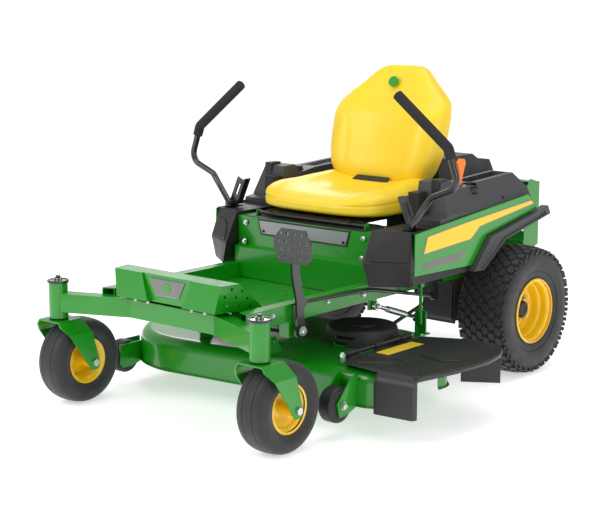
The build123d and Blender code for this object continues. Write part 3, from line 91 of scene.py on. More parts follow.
# ------------------------------------------------------------------ finishes
@dataclass(frozen=True)
class Finish:
    """A surface finish and the record's slot that it belongs to.

    Colours are linear. grain is a fine bump, in millimetres across and as a
    strength; patch is the share by which colour and gloss wander over the piece.
    """

    name: str
    slot: str
    colour: tuple[float, float, float]
    roughness: float
    metallic: float = 0.0
    coat: float = 0.0
    coat_roughness: float = 0.03
    grain_mm: float = 0.0
    grain: float = 0.0
    patch: float = 0.0
    patch_mm: float = 60.0
    sheen: float = 0.0

    def material(self) -> Material:
        """Build the node material, or give back the one already built.

        Returns:
            The Blender material of this finish.
        """
        found = bpy.data.materials.get(self.name)
        if found:
            return found
        made = bpy.data.materials.new(self.name)
        made.use_nodes = True
        nodes, links = made.node_tree.nodes, made.node_tree.links
        shader = nodes["Principled BSDF"]
        shader.inputs["Base Color"].default_value = (*self.colour, 1.0)
        shader.inputs["Roughness"].default_value = self.roughness
        shader.inputs["Metallic"].default_value = self.metallic
        shader.inputs["Coat Weight"].default_value = self.coat
        shader.inputs["Coat Roughness"].default_value = self.coat_roughness
        shader.inputs["Sheen Weight"].default_value = self.sheen
        coords = nodes.new("ShaderNodeTexCoord")
        if self.grain:
            speck = nodes.new("ShaderNodeTexNoise")
            speck.inputs["Scale"].default_value = 1.0 / (self.grain_mm * MM)
            speck.inputs["Detail"].default_value = 3.0
            bump = nodes.new("ShaderNodeBump")
            bump.inputs["Strength"].default_value = self.grain
            bump.inputs["Distance"].default_value = 0.3 * MM
            links.new(coords.outputs["Object"], speck.inputs["Vector"])
            links.new(speck.outputs["Fac"], bump.inputs["Height"])
            links.new(bump.outputs["Normal"], shader.inputs["Normal"])
        if self.patch:
            cloud = nodes.new("ShaderNodeTexNoise")
            cloud.inputs["Scale"].default_value = 1.0 / (self.patch_mm * MM)
            cloud.inputs["Detail"].default_value = 4.0
            links.new(coords.outputs["Object"], cloud.inputs["Vector"])
            self._wander(nodes, links, cloud, shader)
        return made

    def _wander(self, nodes, links, cloud, shader) -> None:
        """Let roughness and colour follow a noise node.

        Args:
            nodes: The material's node list.
            links: The material's link list.
            cloud: The noise node to follow.
            shader: The shader that is fed.
        """
        gloss = nodes.new("ShaderNodeMapRange")
        gloss.inputs["From Min"].default_value = 0.3
        gloss.inputs["From Max"].default_value = 0.7
        gloss.inputs["To Min"].default_value = self.roughness * (1 - self.patch)
        gloss.inputs["To Max"].default_value = min(1.0, self.roughness * (1 + self.patch))
        links.new(cloud.outputs["Fac"], gloss.inputs["Value"])
        links.new(gloss.outputs["Result"], shader.inputs["Roughness"])
        tone = nodes.new("ShaderNodeValToRGB")
        tone.color_ramp.elements[0].position = 0.3
        tone.color_ramp.elements[1].position = 0.7
        dark, light = 1 - self.patch * 0.5, 1 + self.patch * 0.5
        tone.color_ramp.elements[0].color = (*[c * dark for c in self.colour], 1.0)
        tone.color_ramp.elements[1].color = (*[min(1.0, c * light) for c in self.colour], 1.0)
        links.new(cloud.outputs["Fac"], tone.inputs["Fac"])
        links.new(tone.outputs["Color"], shader.inputs["Base Color"])


GREEN = Finish("green_enamel", "green_paint", (0.0015, 0.25, 0.0015), 0.34, coat=0.55, coat_roughness=0.08,
               grain_mm=2.2, grain=0.03)
GREEN_PANEL = Finish("green_panel_enamel", "green_paint", (0.003, 0.29, 0.006), 0.34, coat=0.6,
                     coat_roughness=0.08, grain_mm=2.2, grain=0.02)
YELLOW = Finish("yellow_enamel", "yellow_paint", (0.93, 0.58, 0.004), 0.3, coat=0.9, coat_roughness=0.06)
VINYL = Finish("yellow_vinyl", "seat_vinyl", (0.95, 0.665, 0.02), 0.42, coat=0.12, coat_roughness=0.3,
               grain_mm=1.1, grain=0.22, patch=0.06, patch_mm=90.0)
BLACK_PLASTIC = Finish("black_moulding", "black_plastic", (0.013, 0.013, 0.014), 0.5, grain_mm=0.9,
                       grain=0.25,
                       patch=0.12)
GREY_PLASTIC = Finish("grey_moulding", "grey_plastic", (0.052, 0.053, 0.056), 0.48, grain_mm=0.9, grain=0.25,
                      patch=0.1)
CHUTE_PLASTIC = Finish("chute_moulding", "chute_plastic", (0.021, 0.021, 0.022), 0.42, grain_mm=1.6,
                       grain=0.12,
                       patch=0.14, patch_mm=120.0)
TANK_PLASTIC = Finish("tank_moulding", "tank_plastic", (0.02, 0.02, 0.022), 0.5)
RUBBER = Finish("tyre_compound", "tyre_rubber", (0.018, 0.018, 0.019), 0.62, grain_mm=1.4, grain=0.3,
                patch=0.16,
                patch_mm=45.0, sheen=0.15)
ZINC = Finish("zinc_plate", "zinc", (0.62, 0.63, 0.65), 0.26, metallic=1.0, grain_mm=1.0, grain=0.06,
              patch=0.15,
              patch_mm=12.0)
BLACK_STEEL = Finish("black_gloss_steel", "black_steel", (0.008, 0.008, 0.009), 0.3, coat=0.6,
                     coat_roughness=0.08)
CAST = Finish("dark_casting", "cast_alloy", (0.06, 0.06, 0.065), 0.55, metallic=0.35, grain_mm=1.8,
              grain=0.4,
              patch=0.3, patch_mm=40.0)
FOAM = Finish("grip_foam_black", "grip_foam", (0.016, 0.014, 0.014), 0.82, grain_mm=1.2, grain=0.5)
ORANGE = Finish("orange_moulding", "orange_plastic", (0.95, 0.22, 0.006), 0.35)
SILVER = Finish("satin_silver", "silver_plate", (0.33, 0.33, 0.34), 0.42, metallic=0.5, grain_mm=0.8,
                grain=0.05)
BELT = Finish("belt_cord", "belt_rubber", (0.03, 0.028, 0.025), 0.8, grain_mm=1.5, grain=0.3)
DECAL_YELLOW = Finish("yellow_film", "decal_yellow", (0.95, 0.66, 0.03), 0.32)
DECAL_GREY = Finish("grey_film", "decal_grey", (0.20, 0.19, 0.19), 0.4)


# ------------------------------------------------------------------ toolkit
def block(bm: BMesh, low: Point, high: Point) -> list[BMVert]:
    """Add a block between two corners and give back its vertices."""
    a, b = Vector(low), Vector(high)
    place = Matrix.Translation((a + b) / 2) @ Matrix.Diagonal((*(b - a), 1.0))
    return bmesh.ops.create_cube(bm, size=1.0, matrix=place)["verts"]


def bar(bm: BMesh, start: Point, end: Point, radius: float, sides: int = 32,
        tip: float | None = None) -> list[BMVert]:
    """Add a round or many-sided bar between two points.

    Args:
        bm: The mesh to add to.
        start: First end.
        end: Other end.
        radius: Radius at the first end.
        sides: Number of sides.
        tip: Radius at the other end, where it differs.

    Returns:
        The bar's vertices.
    """
    a, b = Vector(start), Vector(end)
    turn = (b - a).to_track_quat("Z", "Y").to_matrix().to_4x4()
    place = Matrix.Translation((a + b) / 2) @ turn
    far = radius if tip is None else tip
    return bmesh.ops.create_cone(bm, cap_ends=True, segments=sides, radius1=radius, radius2=far,
                                 depth=(b - a).length, matrix=place)["verts"]


def plate(bm: BMesh, outline: Sequence[Point], depth: Point) -> None:
    """Add a flat plate: an outline of points drawn out along a depth vector."""
    face = bm.faces.new([bm.verts.new(Vector(p)) for p in outline])
    grown = bmesh.ops.extrude_face_region(bm, geom=[face])["geom"]
    bmesh.ops.translate(bm, verts=[v for v in grown if isinstance(v, BMVert)], vec=Vector(depth))


def lathe(bm: BMesh, profile: Sequence[Point], centre: Point, axis: Axis = Axis.X, steps: int = 96) -> None:
    """Turn a closed outline of (offset along the axis, radius) points about an axis.

    Args:
        bm: The mesh to add to.
        profile: Outline points in order.
        centre: A point of the axis.
        axis: Direction of the axis.
        steps: Number of steps round.
    """
    out = Axis.Z.way if axis is not Axis.Z else Axis.X.way
    verts = [bm.verts.new(Vector(centre) + axis.way * a + out * r) for a, r in profile]
    edges = [bm.edges.new((verts[i - 1], verts[i])) for i in range(len(verts))]
    bmesh.ops.spin(bm, geom=verts + edges, cent=Vector(centre), axis=axis.way, dvec=(0, 0, 0),
                   angle=math.tau, steps=steps, use_merge=True, use_duplicate=False)


def flow(points: Sequence[Point], steps: int = 6) -> list[tuple[float, ...]]:
    """Smooth open curve through points of any dimension, by Catmull-Rom pieces."""
    out: list[tuple[float, ...]] = []
    for i in range(len(points) - 1):
        p0 = points[max(i - 1, 0)]
        p1, p2 = points[i], points[i + 1]
        p3 = points[min(i + 2, len(points) - 1)]
        for k in range(steps):
            t = k / steps
            out.append(tuple(
                0.5 * (2 * b + (c - a) * t + (2 * a - 5 * b + 4 * c - d) * t * t
                       + (3 * b - a - 3 * c + d) * t ** 3)
                for a, b, c, d in zip(p0, p1, p2, p3)))
    out.append(tuple(points[-1]))
    return out


def tube(bm: BMesh, path: Sequence[Point], radius: float, sides: int = 16) -> None:
    """Add a round tube along a path, closed at both ends.

    Args:
        bm: The mesh to add to.
        path: Points of the centre line.
        radius: Radius of the tube.
        sides: Number of sides.
    """
    line = [Vector(p) for p in path]
    before: list = []
    for i, here in enumerate(line):
        way = (line[min(i + 1, len(line) - 1)] - line[max(i - 1, 0)]).normalized()
        place = Matrix.Translation(here) @ way.to_track_quat("Z", "Y").to_matrix().to_4x4()
        ring = bmesh.ops.create_circle(bm, cap_ends=i in (0, len(line) - 1), segments=sides, radius=radius,
                                       matrix=place)["verts"]
        edges = list({e for v in ring for e in v.link_edges})
        if before:
            bmesh.ops.bridge_loops(bm, edges=before + edges)
        before = edges


def bolt(bm: BMesh, at: Point, way: Point, across: float = 13.0, washer: float = 1.45) -> None:
    """Add a hexagon bolt head on a washer, standing on a surface point."""
    base, out = Vector(at), Vector(way).normalized()
    if washer:
        bar(bm, base - out * 0.5, base + out * WASHER_T, across * washer / 2, sides=24)
    shoulder = base + out * (WASHER_T + across * HEAD_HIGH)
    bar(bm, base + out * WASHER_T, shoulder, across * HEAD_CORNER, sides=6)
    top = base + out * (WASHER_T + across * HEAD_TOP)
    bar(bm, shoulder, top, across * HEAD_CORNER, sides=6, tip=across * HEAD_TIP)


def patch_of(corners: Sequence[Point], u: float, v: float) -> Vector:
    """Point of a four-cornered patch, u along the first edge and v up from it."""
    a, b, c, d = (Vector(p) for p in corners)
    return a * (1 - u) * (1 - v) + b * u * (1 - v) + c * u * v + d * (1 - u) * v


class Workshop:
    """Moves meshes from the machine frame into the row frame and finishes them."""

    def __init__(self) -> None:
        """Find the machine frame from where the rear tyres stand."""
        boxes = [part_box(f"rear_tyre_{side.word}") for side in Side]
        middle = sum((low + high for low, high in boxes), Vector()) / 4
        self.origin = Vector((middle.x, middle.y, 0.0))
        self.place = Matrix.Translation(self.origin) @ Matrix.Scale(MM, 4)
        self.used: set[str] = set()

    def finish(self, name: str, bm: BMesh, look: Finish, body: str, replaces: Sequence[str] = (),
               bevel: float = 0.0, segments: int = 2, smooth: float = 35.0, weld: bool = True) -> Object:
        """Turn a machine-frame mesh into a finished piece that rides on a body.

        Args:
            name: The piece's name.
            bm: The mesh, in millimetres; it is freed here.
            look: The finish.
            body: The CAD body that carries the piece.
            replaces: CAD nodes that the piece stands for.
            bevel: Width of the rounded edges in millimetres.
            segments: Steps of the rounded edges.
            smooth: Angle up to which faces shade smoothly, in degrees.
            weld: Whether doubles are merged and normals recalculated.

        Returns:
            The piece.
        """
        if weld:
            bmesh.ops.remove_doubles(bm, verts=bm.verts[:], dist=0.01)
            bmesh.ops.recalc_face_normals(bm, faces=bm.faces[:])
        bm.transform(self.place)
        return self._object(name, bm, look, body, replaces, bevel, segments, smooth)

    def soften(self, node: str, look: Finish, body: str, bevel: float = 1.2, segments: int = 2,
               angle: float = 28.0) -> Object:
        """Stand in for a CAD node with a welded copy that has rounded edges.

        Args:
            node: The CAD node.
            look: The finish.
            body: The CAD body that carries it.
            bevel: Width of the rounded edges in millimetres.
            segments: Steps of the rounded edges.
            angle: Angle from which an edge is rounded, in degrees.

        Returns:
            The piece.
        """
        bm = bmesh.new()
        bm.from_mesh(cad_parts[node].data)
        bmesh.ops.remove_doubles(bm, verts=bm.verts[:], dist=0.01 * MM)
        bmesh.ops.dissolve_limit(bm, angle_limit=math.radians(0.6), use_dissolve_boundaries=False,
                                 verts=bm.verts[:], edges=bm.edges[:])
        return self._object(f"{node}_finished", bm, look, body, (node,), bevel, segments, angle)

    def _object(self, name: str, bm: BMesh, look: Finish, body: str, replaces: Sequence[str], bevel: float,
                segments: int, smooth: float) -> Object:
        """Make the object, its modifiers, its finish and its ride."""
        mesh = bpy.data.meshes.new(name)
        for face in bm.faces:
            face.smooth = True
        bm.to_mesh(mesh)
        bm.free()
        mesh.set_sharp_from_angle(angle=math.radians(smooth))
        mesh.materials.append(look.material())
        piece = bpy.data.objects.new(name, mesh)
        bpy.context.scene.collection.objects.link(piece)
        if bevel:
            soft = piece.modifiers.new("rounded_edges", "BEVEL")
            soft.width = bevel * MM
            soft.segments = segments
            soft.limit_method = "ANGLE"
            soft.angle_limit = math.radians(smooth)
            soft.harden_normals = True
            soft.miter_outer = "MITER_ARC"
        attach(piece, body)
        for node in replaces:
            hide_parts(node)
            self.used.add(node)
        LOG.info("%s rides on %s, %d faces", name, body, len(mesh.polygons))
        return piece


SHOP = Workshop()


# ------------------------------------------------------------------ wheels
@dataclass
class RearWheel:
    """Turf tyre, rolled yellow rim and dark hub cap, in millimetres."""

    side: Side
    radius: float = 225.0
    half: float = 93.0
    rim: float = 112.0
    centre_x: float = 438.0
    columns: int = 7
    rows: int = 36
    pitch: float = 23.0
    block_high: float = 7.5
    block_radius: float = 17.4
    block_tip: float = 14.2
    lug_count: int = 4
    lug_circle: float = 49.0

    @property
    def centre(self) -> Vector:
        """Middle of the wheel."""
        return Vector((self.side.value * self.centre_x, 0.0, self.radius))

    @property
    def body(self) -> str:
        """The CAD body that carries the wheel."""
        return f"rear_wheel_{self.side.word}"

    def crown(self, offset: float) -> float:
        """Radius of the bare casing at an offset from the middle."""
        share = abs(offset) / self.half
        return self.radius - self.block_high - 15.0 * share ** 3.2

    def tyre(self) -> None:
        """Casing with bead, side wall rings and tread blocks."""
        bm = bmesh.new()
        wall = [(68, self.rim - 7), (75, self.rim - 1), (82, 124), (86, 138), (85, 142), (89, 145),
                (92.5, 165),
                (92, 183), (88.5, 197), (81, 206), (63, 212.3), (36, 216.4)]
        outer = flow(wall, 5)
        full = outer + [(0.0, self.radius - self.block_high)] + [(-a, r) for a, r in reversed(outer)]
        inner = flow([(61, self.rim - 6), (76, 140), (82, 166), (79, 186), (63, 200), (0, 207)], 3)
        inner += [(-a, r) for a, r in reversed(inner[:-1])]
        lathe(bm, full + inner[::-1], self.centre, steps=128)
        bmesh.ops.recalc_face_normals(bm, faces=bm.faces[:])
        self._blocks(bm)
        SHOP.finish(f"rear_tyre_{self.side.word}_turf", bm, RUBBER, self.body,
                    [f"rear_tyre_{self.side.word}"],
                    smooth=32.0, weld=False)

    def _blocks(self, bm: BMesh) -> None:
        """Staggered lozenge blocks over the crown and zig-zag lugs on the shoulders."""
        for row in range(self.rows * 2):
            angle = math.tau * row / (self.rows * 2)
            for col in range(self.columns):
                if (row + col) % 2:
                    continue
                offset = (col - (self.columns - 1) / 2) * self.pitch
                base = self.crown(offset)
                lean = math.radians(17) * (offset / self.half) ** 3
                made = bmesh.ops.create_cone(bm, cap_ends=True, segments=6, radius1=self.block_radius,
                                             radius2=self.block_tip,
                                             depth=self.block_high + 2.0)["verts"]
                bmesh.ops.scale(bm, verts=made, vec=(0.86, 1.0, 1.0))
                self._set(bm, made, offset, base + self.block_high / 2 - 1.5, angle, lean)
        for edge in (-1, 1):
            for row in range(self.rows * 2):
                angle = math.tau * (row + 0.5) / (self.rows * 2)
                long = row % 2 == 0
                made = block(bm, (-5.6, -10.5, -13.0 if long else -6.0), (5.6, 7.5, 13.0 if long else 10.0))
                top = [v for v in made if v.co.z > 0]
                bmesh.ops.scale(bm, verts=top, vec=(0.8, 0.72, 1.0))
                for v in made:
                    v.co = Vector((v.co.y * edge * 0.55, v.co.x * 1.3, v.co.z))
                self._set(bm, made, edge * (85.0 if long else 83.0), 200.0 if long else 206.5, angle,
                          math.radians(38) * edge)

    def _set(self, bm: BMesh, verts: list[BMVert], offset: float, radius: float, angle: float,
             lean: float) -> None:
        """Lean a block over the shoulder, move it out to the tread and turn it round the axle."""
        place = (Matrix.Translation(self.centre) @ Matrix.Rotation(angle, 4, "X")
                 @ Matrix.Translation((offset, 0.0, radius)) @ Matrix.Rotation(lean, 4, "Y"))
        bmesh.ops.transform(bm, matrix=place, verts=verts)

    def rim_piece(self) -> None:
        """Deep yellow rim: rolled flanges, stepped barrel and pressed disc."""
        s = self.side.value
        face = [(87, 108), (86, 113), (82, 114), (79, 110), (77, 103), (67, 98), (48, 97), (44, 92),
                (30, 88),
                (14, 86), (9, 78), (12, 68), (15, 60), (12, 50), (6, 44), (3, 38), (3, 26)]
        behind = [(-3, 26), (-3, 38), (0, 46), (6, 53), (8, 61), (4, 70), (2, 80), (2, 84), (-30, 84),
                  (-40, 90),
                  (-50, 96), (-73, 98), (-82, 107), (-86, 107), (-86, 113), (-81, 114), (-77, 103),
                  (-50, 100),
                  (-37, 92), (24, 90), (37, 93), (46, 100), (66, 102), (73, 106), (77, 112), (84, 115),
                  (88, 111)]
        bm = bmesh.new()
        outline = flow(face, 3) + behind
        lathe(bm, [(a * s, r) for a, r in outline], self.centre, steps=112)
        SHOP.finish(f"rear_rim_{self.side.word}_rolled", bm, YELLOW, self.body,
                    [f"rear_rim_{self.side.word}"],
                    smooth=40.0)

    def hub(self) -> None:
        """Dark hub cap, axle flange and the four lug bolts."""
        s = self.side.value
        c = self.centre
        bm = bmesh.new()
        bar(bm, c - Vector((s * 195, 0, 0)), c + Vector((s * 4, 0, 0)), 15.0)
        bar(bm, c - Vector((s * 12, 0, 0)), c + Vector((s * 1, 0, 0)), 58.0)
        lathe(bm, [(s * a, r) for a, r in ((0, 0.01), (0, 31), (34, 30), (39, 28), (42, 24), (42, 10),
                                           (40, 8),
                                           (40, 0.01))], c, steps=48)
        SHOP.finish(f"rear_hub_{self.side.word}_cap", bm, BLACK_PLASTIC, self.body,
                    [f"rear_hub_{self.side.word}"],
                    bevel=0.6)
        lugs = bmesh.new()
        for k in range(self.lug_count):
            angle = math.pi / 4 + k * math.tau / self.lug_count
            at = c + Vector((s * 9, math.cos(angle) * self.lug_circle, math.sin(angle) * self.lug_circle))
            bar(lugs, at - Vector((s * 8, 0, 0)), at + Vector((s * 3, 0, 0)), 12.0, tip=9.5)
            bar(lugs, at + Vector((s * 3, 0, 0)), at + Vector((s * 14, 0, 0)), 9.8, sides=6)
            bar(lugs, at + Vector((s * 14, 0, 0)), at + Vector((s * 18, 0, 0)), 5.5, sides=20)
        SHOP.finish(f"rear_lugs_{self.side.word}", lugs, ZINC, self.body, bevel=0.5)

    def build(self) -> None:
        """Make the whole wheel."""
        self.tyre()
        self.rim_piece()
        self.hub()


@dataclass
class FrontWheel:
    """Smooth caster tyre on a dished yellow rim, in millimetres."""

    side: Side
    radius: float = 139.7
    centre_x: float = 435.0
    centre_y: float = -1255.0

    def build(self) -> None:
        """Make the tyre and the rim."""
        s = self.side.value
        c = Vector((s * self.centre_x, self.centre_y, self.radius))
        body = f"front_wheel_{self.side.word}"
        half = [(35, 68), (40, 71), (44.5, 78), (48, 88), (52, 96), (53.8, 106), (53, 117), (49, 127),
                (41, 134),
                (30, 137.6), (20.6, 138.8)]
        groove = [(19.8, 138.9), (19.2, 137.2), (18.2, 137.2), (17.6, 139.1), (8, 139.6), (0, 139.7)]
        outer = flow(half, 4) + groove
        full = outer + [(-a, r) for a, r in reversed(outer[:-1])]
        inner = flow([(30, 70), (42, 90), (45, 106), (40, 122), (0, 130)], 3)
        inner += [(-a, r) for a, r in reversed(inner[:-1])]
        bm = bmesh.new()
        lathe(bm, full + inner[::-1], c, steps=112)
        SHOP.finish(f"front_tyre_{self.side.word}_smooth", bm, RUBBER, body,
                    [f"front_tyre_{self.side.word}"],
                    smooth=50.0)
        line = flow([(44, 69), (44.5, 74.5), (41, 76), (38.5, 72), (37, 65), (30, 61), (22, 58), (19, 50),
                     (12, 40),
                     (8, 32), (10, 24), (14, 21), (40, 20), (66, 19)], 3)
        bm = bmesh.new()
        back = [(66, 8.1), (-66, 8.1), (-66, 19), (-40, 20), (-16, 21), (-4, 30), (1, 40), (3, 50)]
        back += [(-18, 53), (-28, 57), (-37, 62), (-43, 69), (-44.5, 74.5), (-41, 76), (-38.5, 72),
                 (-36, 67),
                 (-26, 62), (26, 62), (35, 68), (38, 77), (42, 78.5), (46, 75)]
        lathe(bm, [(a * s, r) for a, r in line + back], c, steps=96)
        SHOP.finish(f"front_rim_{self.side.word}_dished", bm, YELLOW, body, [f"front_rim_{self.side.word}"],
                    smooth=40.0)


@dataclass
class Caster:
    """Painted fork, its plated hardware and the dust ring."""

    side: Side
    centre_x: float = 435.0
    pivot_y: float = -1334.0
    tube_low: float = 292.0
    tube_top: float = 408.0

    def build(self) -> None:
        """Dress the fork and its hardware."""
        word = self.side.word
        body = f"caster_{word}"
        x = self.side.value * self.centre_x
        SHOP.soften(f"fork_{word}", GREEN, body, bevel=1.8, segments=3)
        SHOP.soften(f"caster_hardware_{word}", ZINC, body, bevel=0.7)
        ring = bmesh.new()
        lathe(ring, [(0, 29), (0, 13), (3.4, 13), (3.4, 31)], (x, self.pivot_y, self.tube_low - 3.9),
              Axis.Z, 48)
        SHOP.finish(f"dust_ring_{word}", ring, BLACK_PLASTIC, body, bevel=0.5)
        cap = bmesh.new()
        lathe(cap, [(0, 35.5), (0, 27), (4.8, 27), (7.4, 30), (7.4, 33.5), (5.5, 35.5)],
              (x, self.pivot_y, self.tube_top + 0.6), Axis.Z, 56)
        SHOP.finish(f"caster_cap_{word}", cap, BLACK_STEEL, body, smooth=40.0)
        nut = bmesh.new()
        bar(nut, (x, self.pivot_y, self.tube_top + 5), (x, self.pivot_y, self.tube_top + 15), 13.2, sides=6)
        bar(nut, (x, self.pivot_y, self.tube_top + 15), (x, self.pivot_y, self.tube_top + 22), 8.0, sides=24)
        SHOP.finish(f"caster_nut_{word}", nut, BLACK_STEEL, body, bevel=0.8)


# ------------------------------------------------------------------ frame
@dataclass
class Chassis:
    """Beam, rails, foot platform, foot rest and toe board."""

    toe_y: float = -630.0

    def build(self) -> None:
        """Dress the frame's nodes and add what is bolted to them."""
        for node, bevel in (("front_beam", 3.0), ("frame_rails", 1.6), ("floor_pan", 1.0), ("footrest", 2.0),
                            ("toe_board", 1.2), ("rear_guard", 1.4)):
            SHOP.soften(node, GREEN, "frame", bevel=bevel, segments=3)
        SHOP.soften("trim_plates", SILVER, "frame", bevel=0.8)
        self.dash()
        self.bolts()
        self.badge()

    def dash(self) -> None:
        """Black seat apron and the plate's surround on the riser."""
        y = self.toe_y - 4.0
        rim = bmesh.new()
        plate(rim, [(-190, y + 1.2, 498), (190, y + 1.2, 498), (204, y + 1.2, 552), (-204, y + 1.2, 552)],
              (0, 2.4, 0))
        SHOP.finish("dash_surround", rim, BLACK_PLASTIC, "frame", bevel=1.0)
        apron = bmesh.new()
        plate(apron, [(-262, self.toe_y - 2, 556.6), (262, self.toe_y - 2, 556.6), (262, -500, 557.6),
                      (-262, -500, 557.6)], (0, 0, 1.4))
        SHOP.finish("seat_apron", apron, BLACK_PLASTIC, "frame", bevel=0.6)
        # Painted shade: the seat hinge pin is green paint, and this black sleeve over it stands for the
        # shade under the seat front.
        sleeve = bmesh.new()
        for s in (-1, 1):
            bar(sleeve, (s * 172, -588, 567), (s * 235, -588, 567), 6.5)
        SHOP.finish("seat_hinge_sleeve", sleeve, BLACK_STEEL, "frame", bevel=0.4)
        screws = bmesh.new()
        for x, z in ((-176, 512), (176, 512)):
            bolt(screws, (x, y - 0.5, z), (0, -1, 0), 7.0, 1.6)
        SHOP.finish("dash_screws", screws, BLACK_STEEL, "frame", bevel=0.3)
        heads = bmesh.new()
        for x, z in ((-258, 534), (258, 534), (258, 470), (-258, 470)):
            bolt(heads, (x, self.toe_y - (3.6 if z > 500 else 11.5), z), (0, -1, 0), 13.0)
        SHOP.finish("toe_board_bolts", heads, ZINC, "frame", bevel=0.5)

    def bolts(self) -> None:
        """Plated bolts of the beam, foot rest and pedal pivot."""
        heads = bmesh.new()
        for x in (-150, -95, 95, 150):
            bolt(heads, (x, -1262, 375), (0, 0, 1), 13.0)
        for side in Side:
            s = side.value
            for y in (-1140, -1010, -880):
                bolt(heads, (s * 313, y, 372), (s, 0, 0), 11.0)
            bolt(heads, (s * 313, -700, 366), (s, 0, 0), 13.0)
        bolt(heads, (346.2, -1038, 312), (1, 0, 0), 18.0, 1.7)
        bolt(heads, (332.5, -645, 322), (1, 0, 0), 13.0)
        SHOP.finish("frame_bolts", heads, ZINC, "frame", bevel=0.5)

    def badge(self) -> None:
        """Plain grey plate and disc in the hollow of the foot rest."""
        y = -1274.0
        film = bmesh.new()
        plate(film, [(-46, y, 411), (46, y, 411), (70, y, 459), (-70, y, 459)], (0, -1.2, 0))
        SHOP.finish("footrest_plate_film", film, DECAL_GREY, "frame", bevel=0.4)
        disc = bmesh.new()
        bar(disc, (0, y - 1.0, 436), (0, y - 2.6, 436), 15.0, sides=40)
        SHOP.finish("footrest_plain_disc", disc, GREEN_PANEL, "frame", bevel=0.5)


@dataclass
class Fender:
    """Pod, painted panel and console of one side."""

    side: Side
    panel_x: float = 440.0

    def build(self) -> None:
        """Dress one side's body work."""
        word = self.side.word
        SHOP.soften(f"pod_{word}", BLACK_PLASTIC, "frame", bevel=5.0, segments=4, angle=20.0)
        SHOP.soften(f"side_panel_{word}", GREEN_PANEL, "frame", bevel=2.0, segments=3)
        SHOP.soften(f"console_{word}", GREY_PLASTIC, "frame", bevel=3.0, segments=3)
        self.pod_panel()
        self.films()
        self.console_parts()

    def across(self, points: Sequence[Point]) -> list[Vector]:
        """Mirror +X points over to this side."""
        return [Vector((p[0] * self.side.value, p[1], p[2])) for p in points]

    def pod_panel(self) -> None:
        """Raised panel with a rounded corner on the front of the pod."""
        corners = self.across([(300, -690, 465), (440, -616, 465), (420, -592, 567), (297, -636, 567)])
        a, b, d = corners[0], corners[1], corners[3]
        out = (b - a).cross(d - a).normalized()
        if out.y > 0:
            out = -out
        bm = bmesh.new()
        outline = [(0.14, 0.06), (0.96, 0.06), (0.96, 0.70), (0.46, 0.66), (0.30, 0.52), (0.17, 0.2)]
        plate(bm, [patch_of(corners, u, v) - out * 1.0 for u, v in outline], out * 4.5)
        SHOP.finish(f"pod_panel_{self.side.word}", bm, BLACK_PLASTIC, "frame", bevel=2.2, segments=4)

    def films(self) -> None:
        """Plain stripe with a thin border, and a grey film, on the painted panel."""
        s = self.side.value
        stripe = [(-548, 493), (-528, 546), (-309, 566), (92, 596), (104, 584), (-229, 545), (-283, 508)]
        border = [(-553, 489.5), (-531, 549.5), (-309, 569.5), (94, 599.5), (110, 581.5), (-227, 541.5),
                  (-281, 504.5)]
        grey = [(-552, 441.5), (-552, 461), (-383, 468), (-309, 478), (-340, 444.5)]
        for name, outline, lift, look in (("stripe_border", border, 0.5, DECAL_GREY),
                                          ("stripe", stripe, 0.9, DECAL_YELLOW),
                                          ("model_film", grey, 0.6, DECAL_GREY)):
            bm = bmesh.new()
            plate(bm, [(s * (self.panel_x - 0.2), y, z) for y, z in outline], (s * (lift + 0.2), 0, 0))
            SHOP.finish(f"{name}_{self.side.word}", bm, look, "frame")

    def console_parts(self) -> None:
        """Screws and the catch boxes on the console's front."""
        s = self.side.value
        heads = bmesh.new()
        bolt(heads, (s * 421.5, -60, 622), (s, 0, 0.75), 7.0, 1.5)
        SHOP.finish(f"console_screw_{self.side.word}", heads, BLACK_STEEL, "frame", bevel=0.3)
        post = bmesh.new()
        low, high = sorted((s * 297.5, s * 340.0))
        block(post, (low, -446, 600), (high, -398, 672))
        low, high = sorted((s * 352.0, s * 384.0))
        block(post, (low, -392, 664), (high, -340, 712))
        SHOP.finish(f"console_catch_{self.side.word}", post, BLACK_PLASTIC, "frame", bevel=3.0, segments=3)


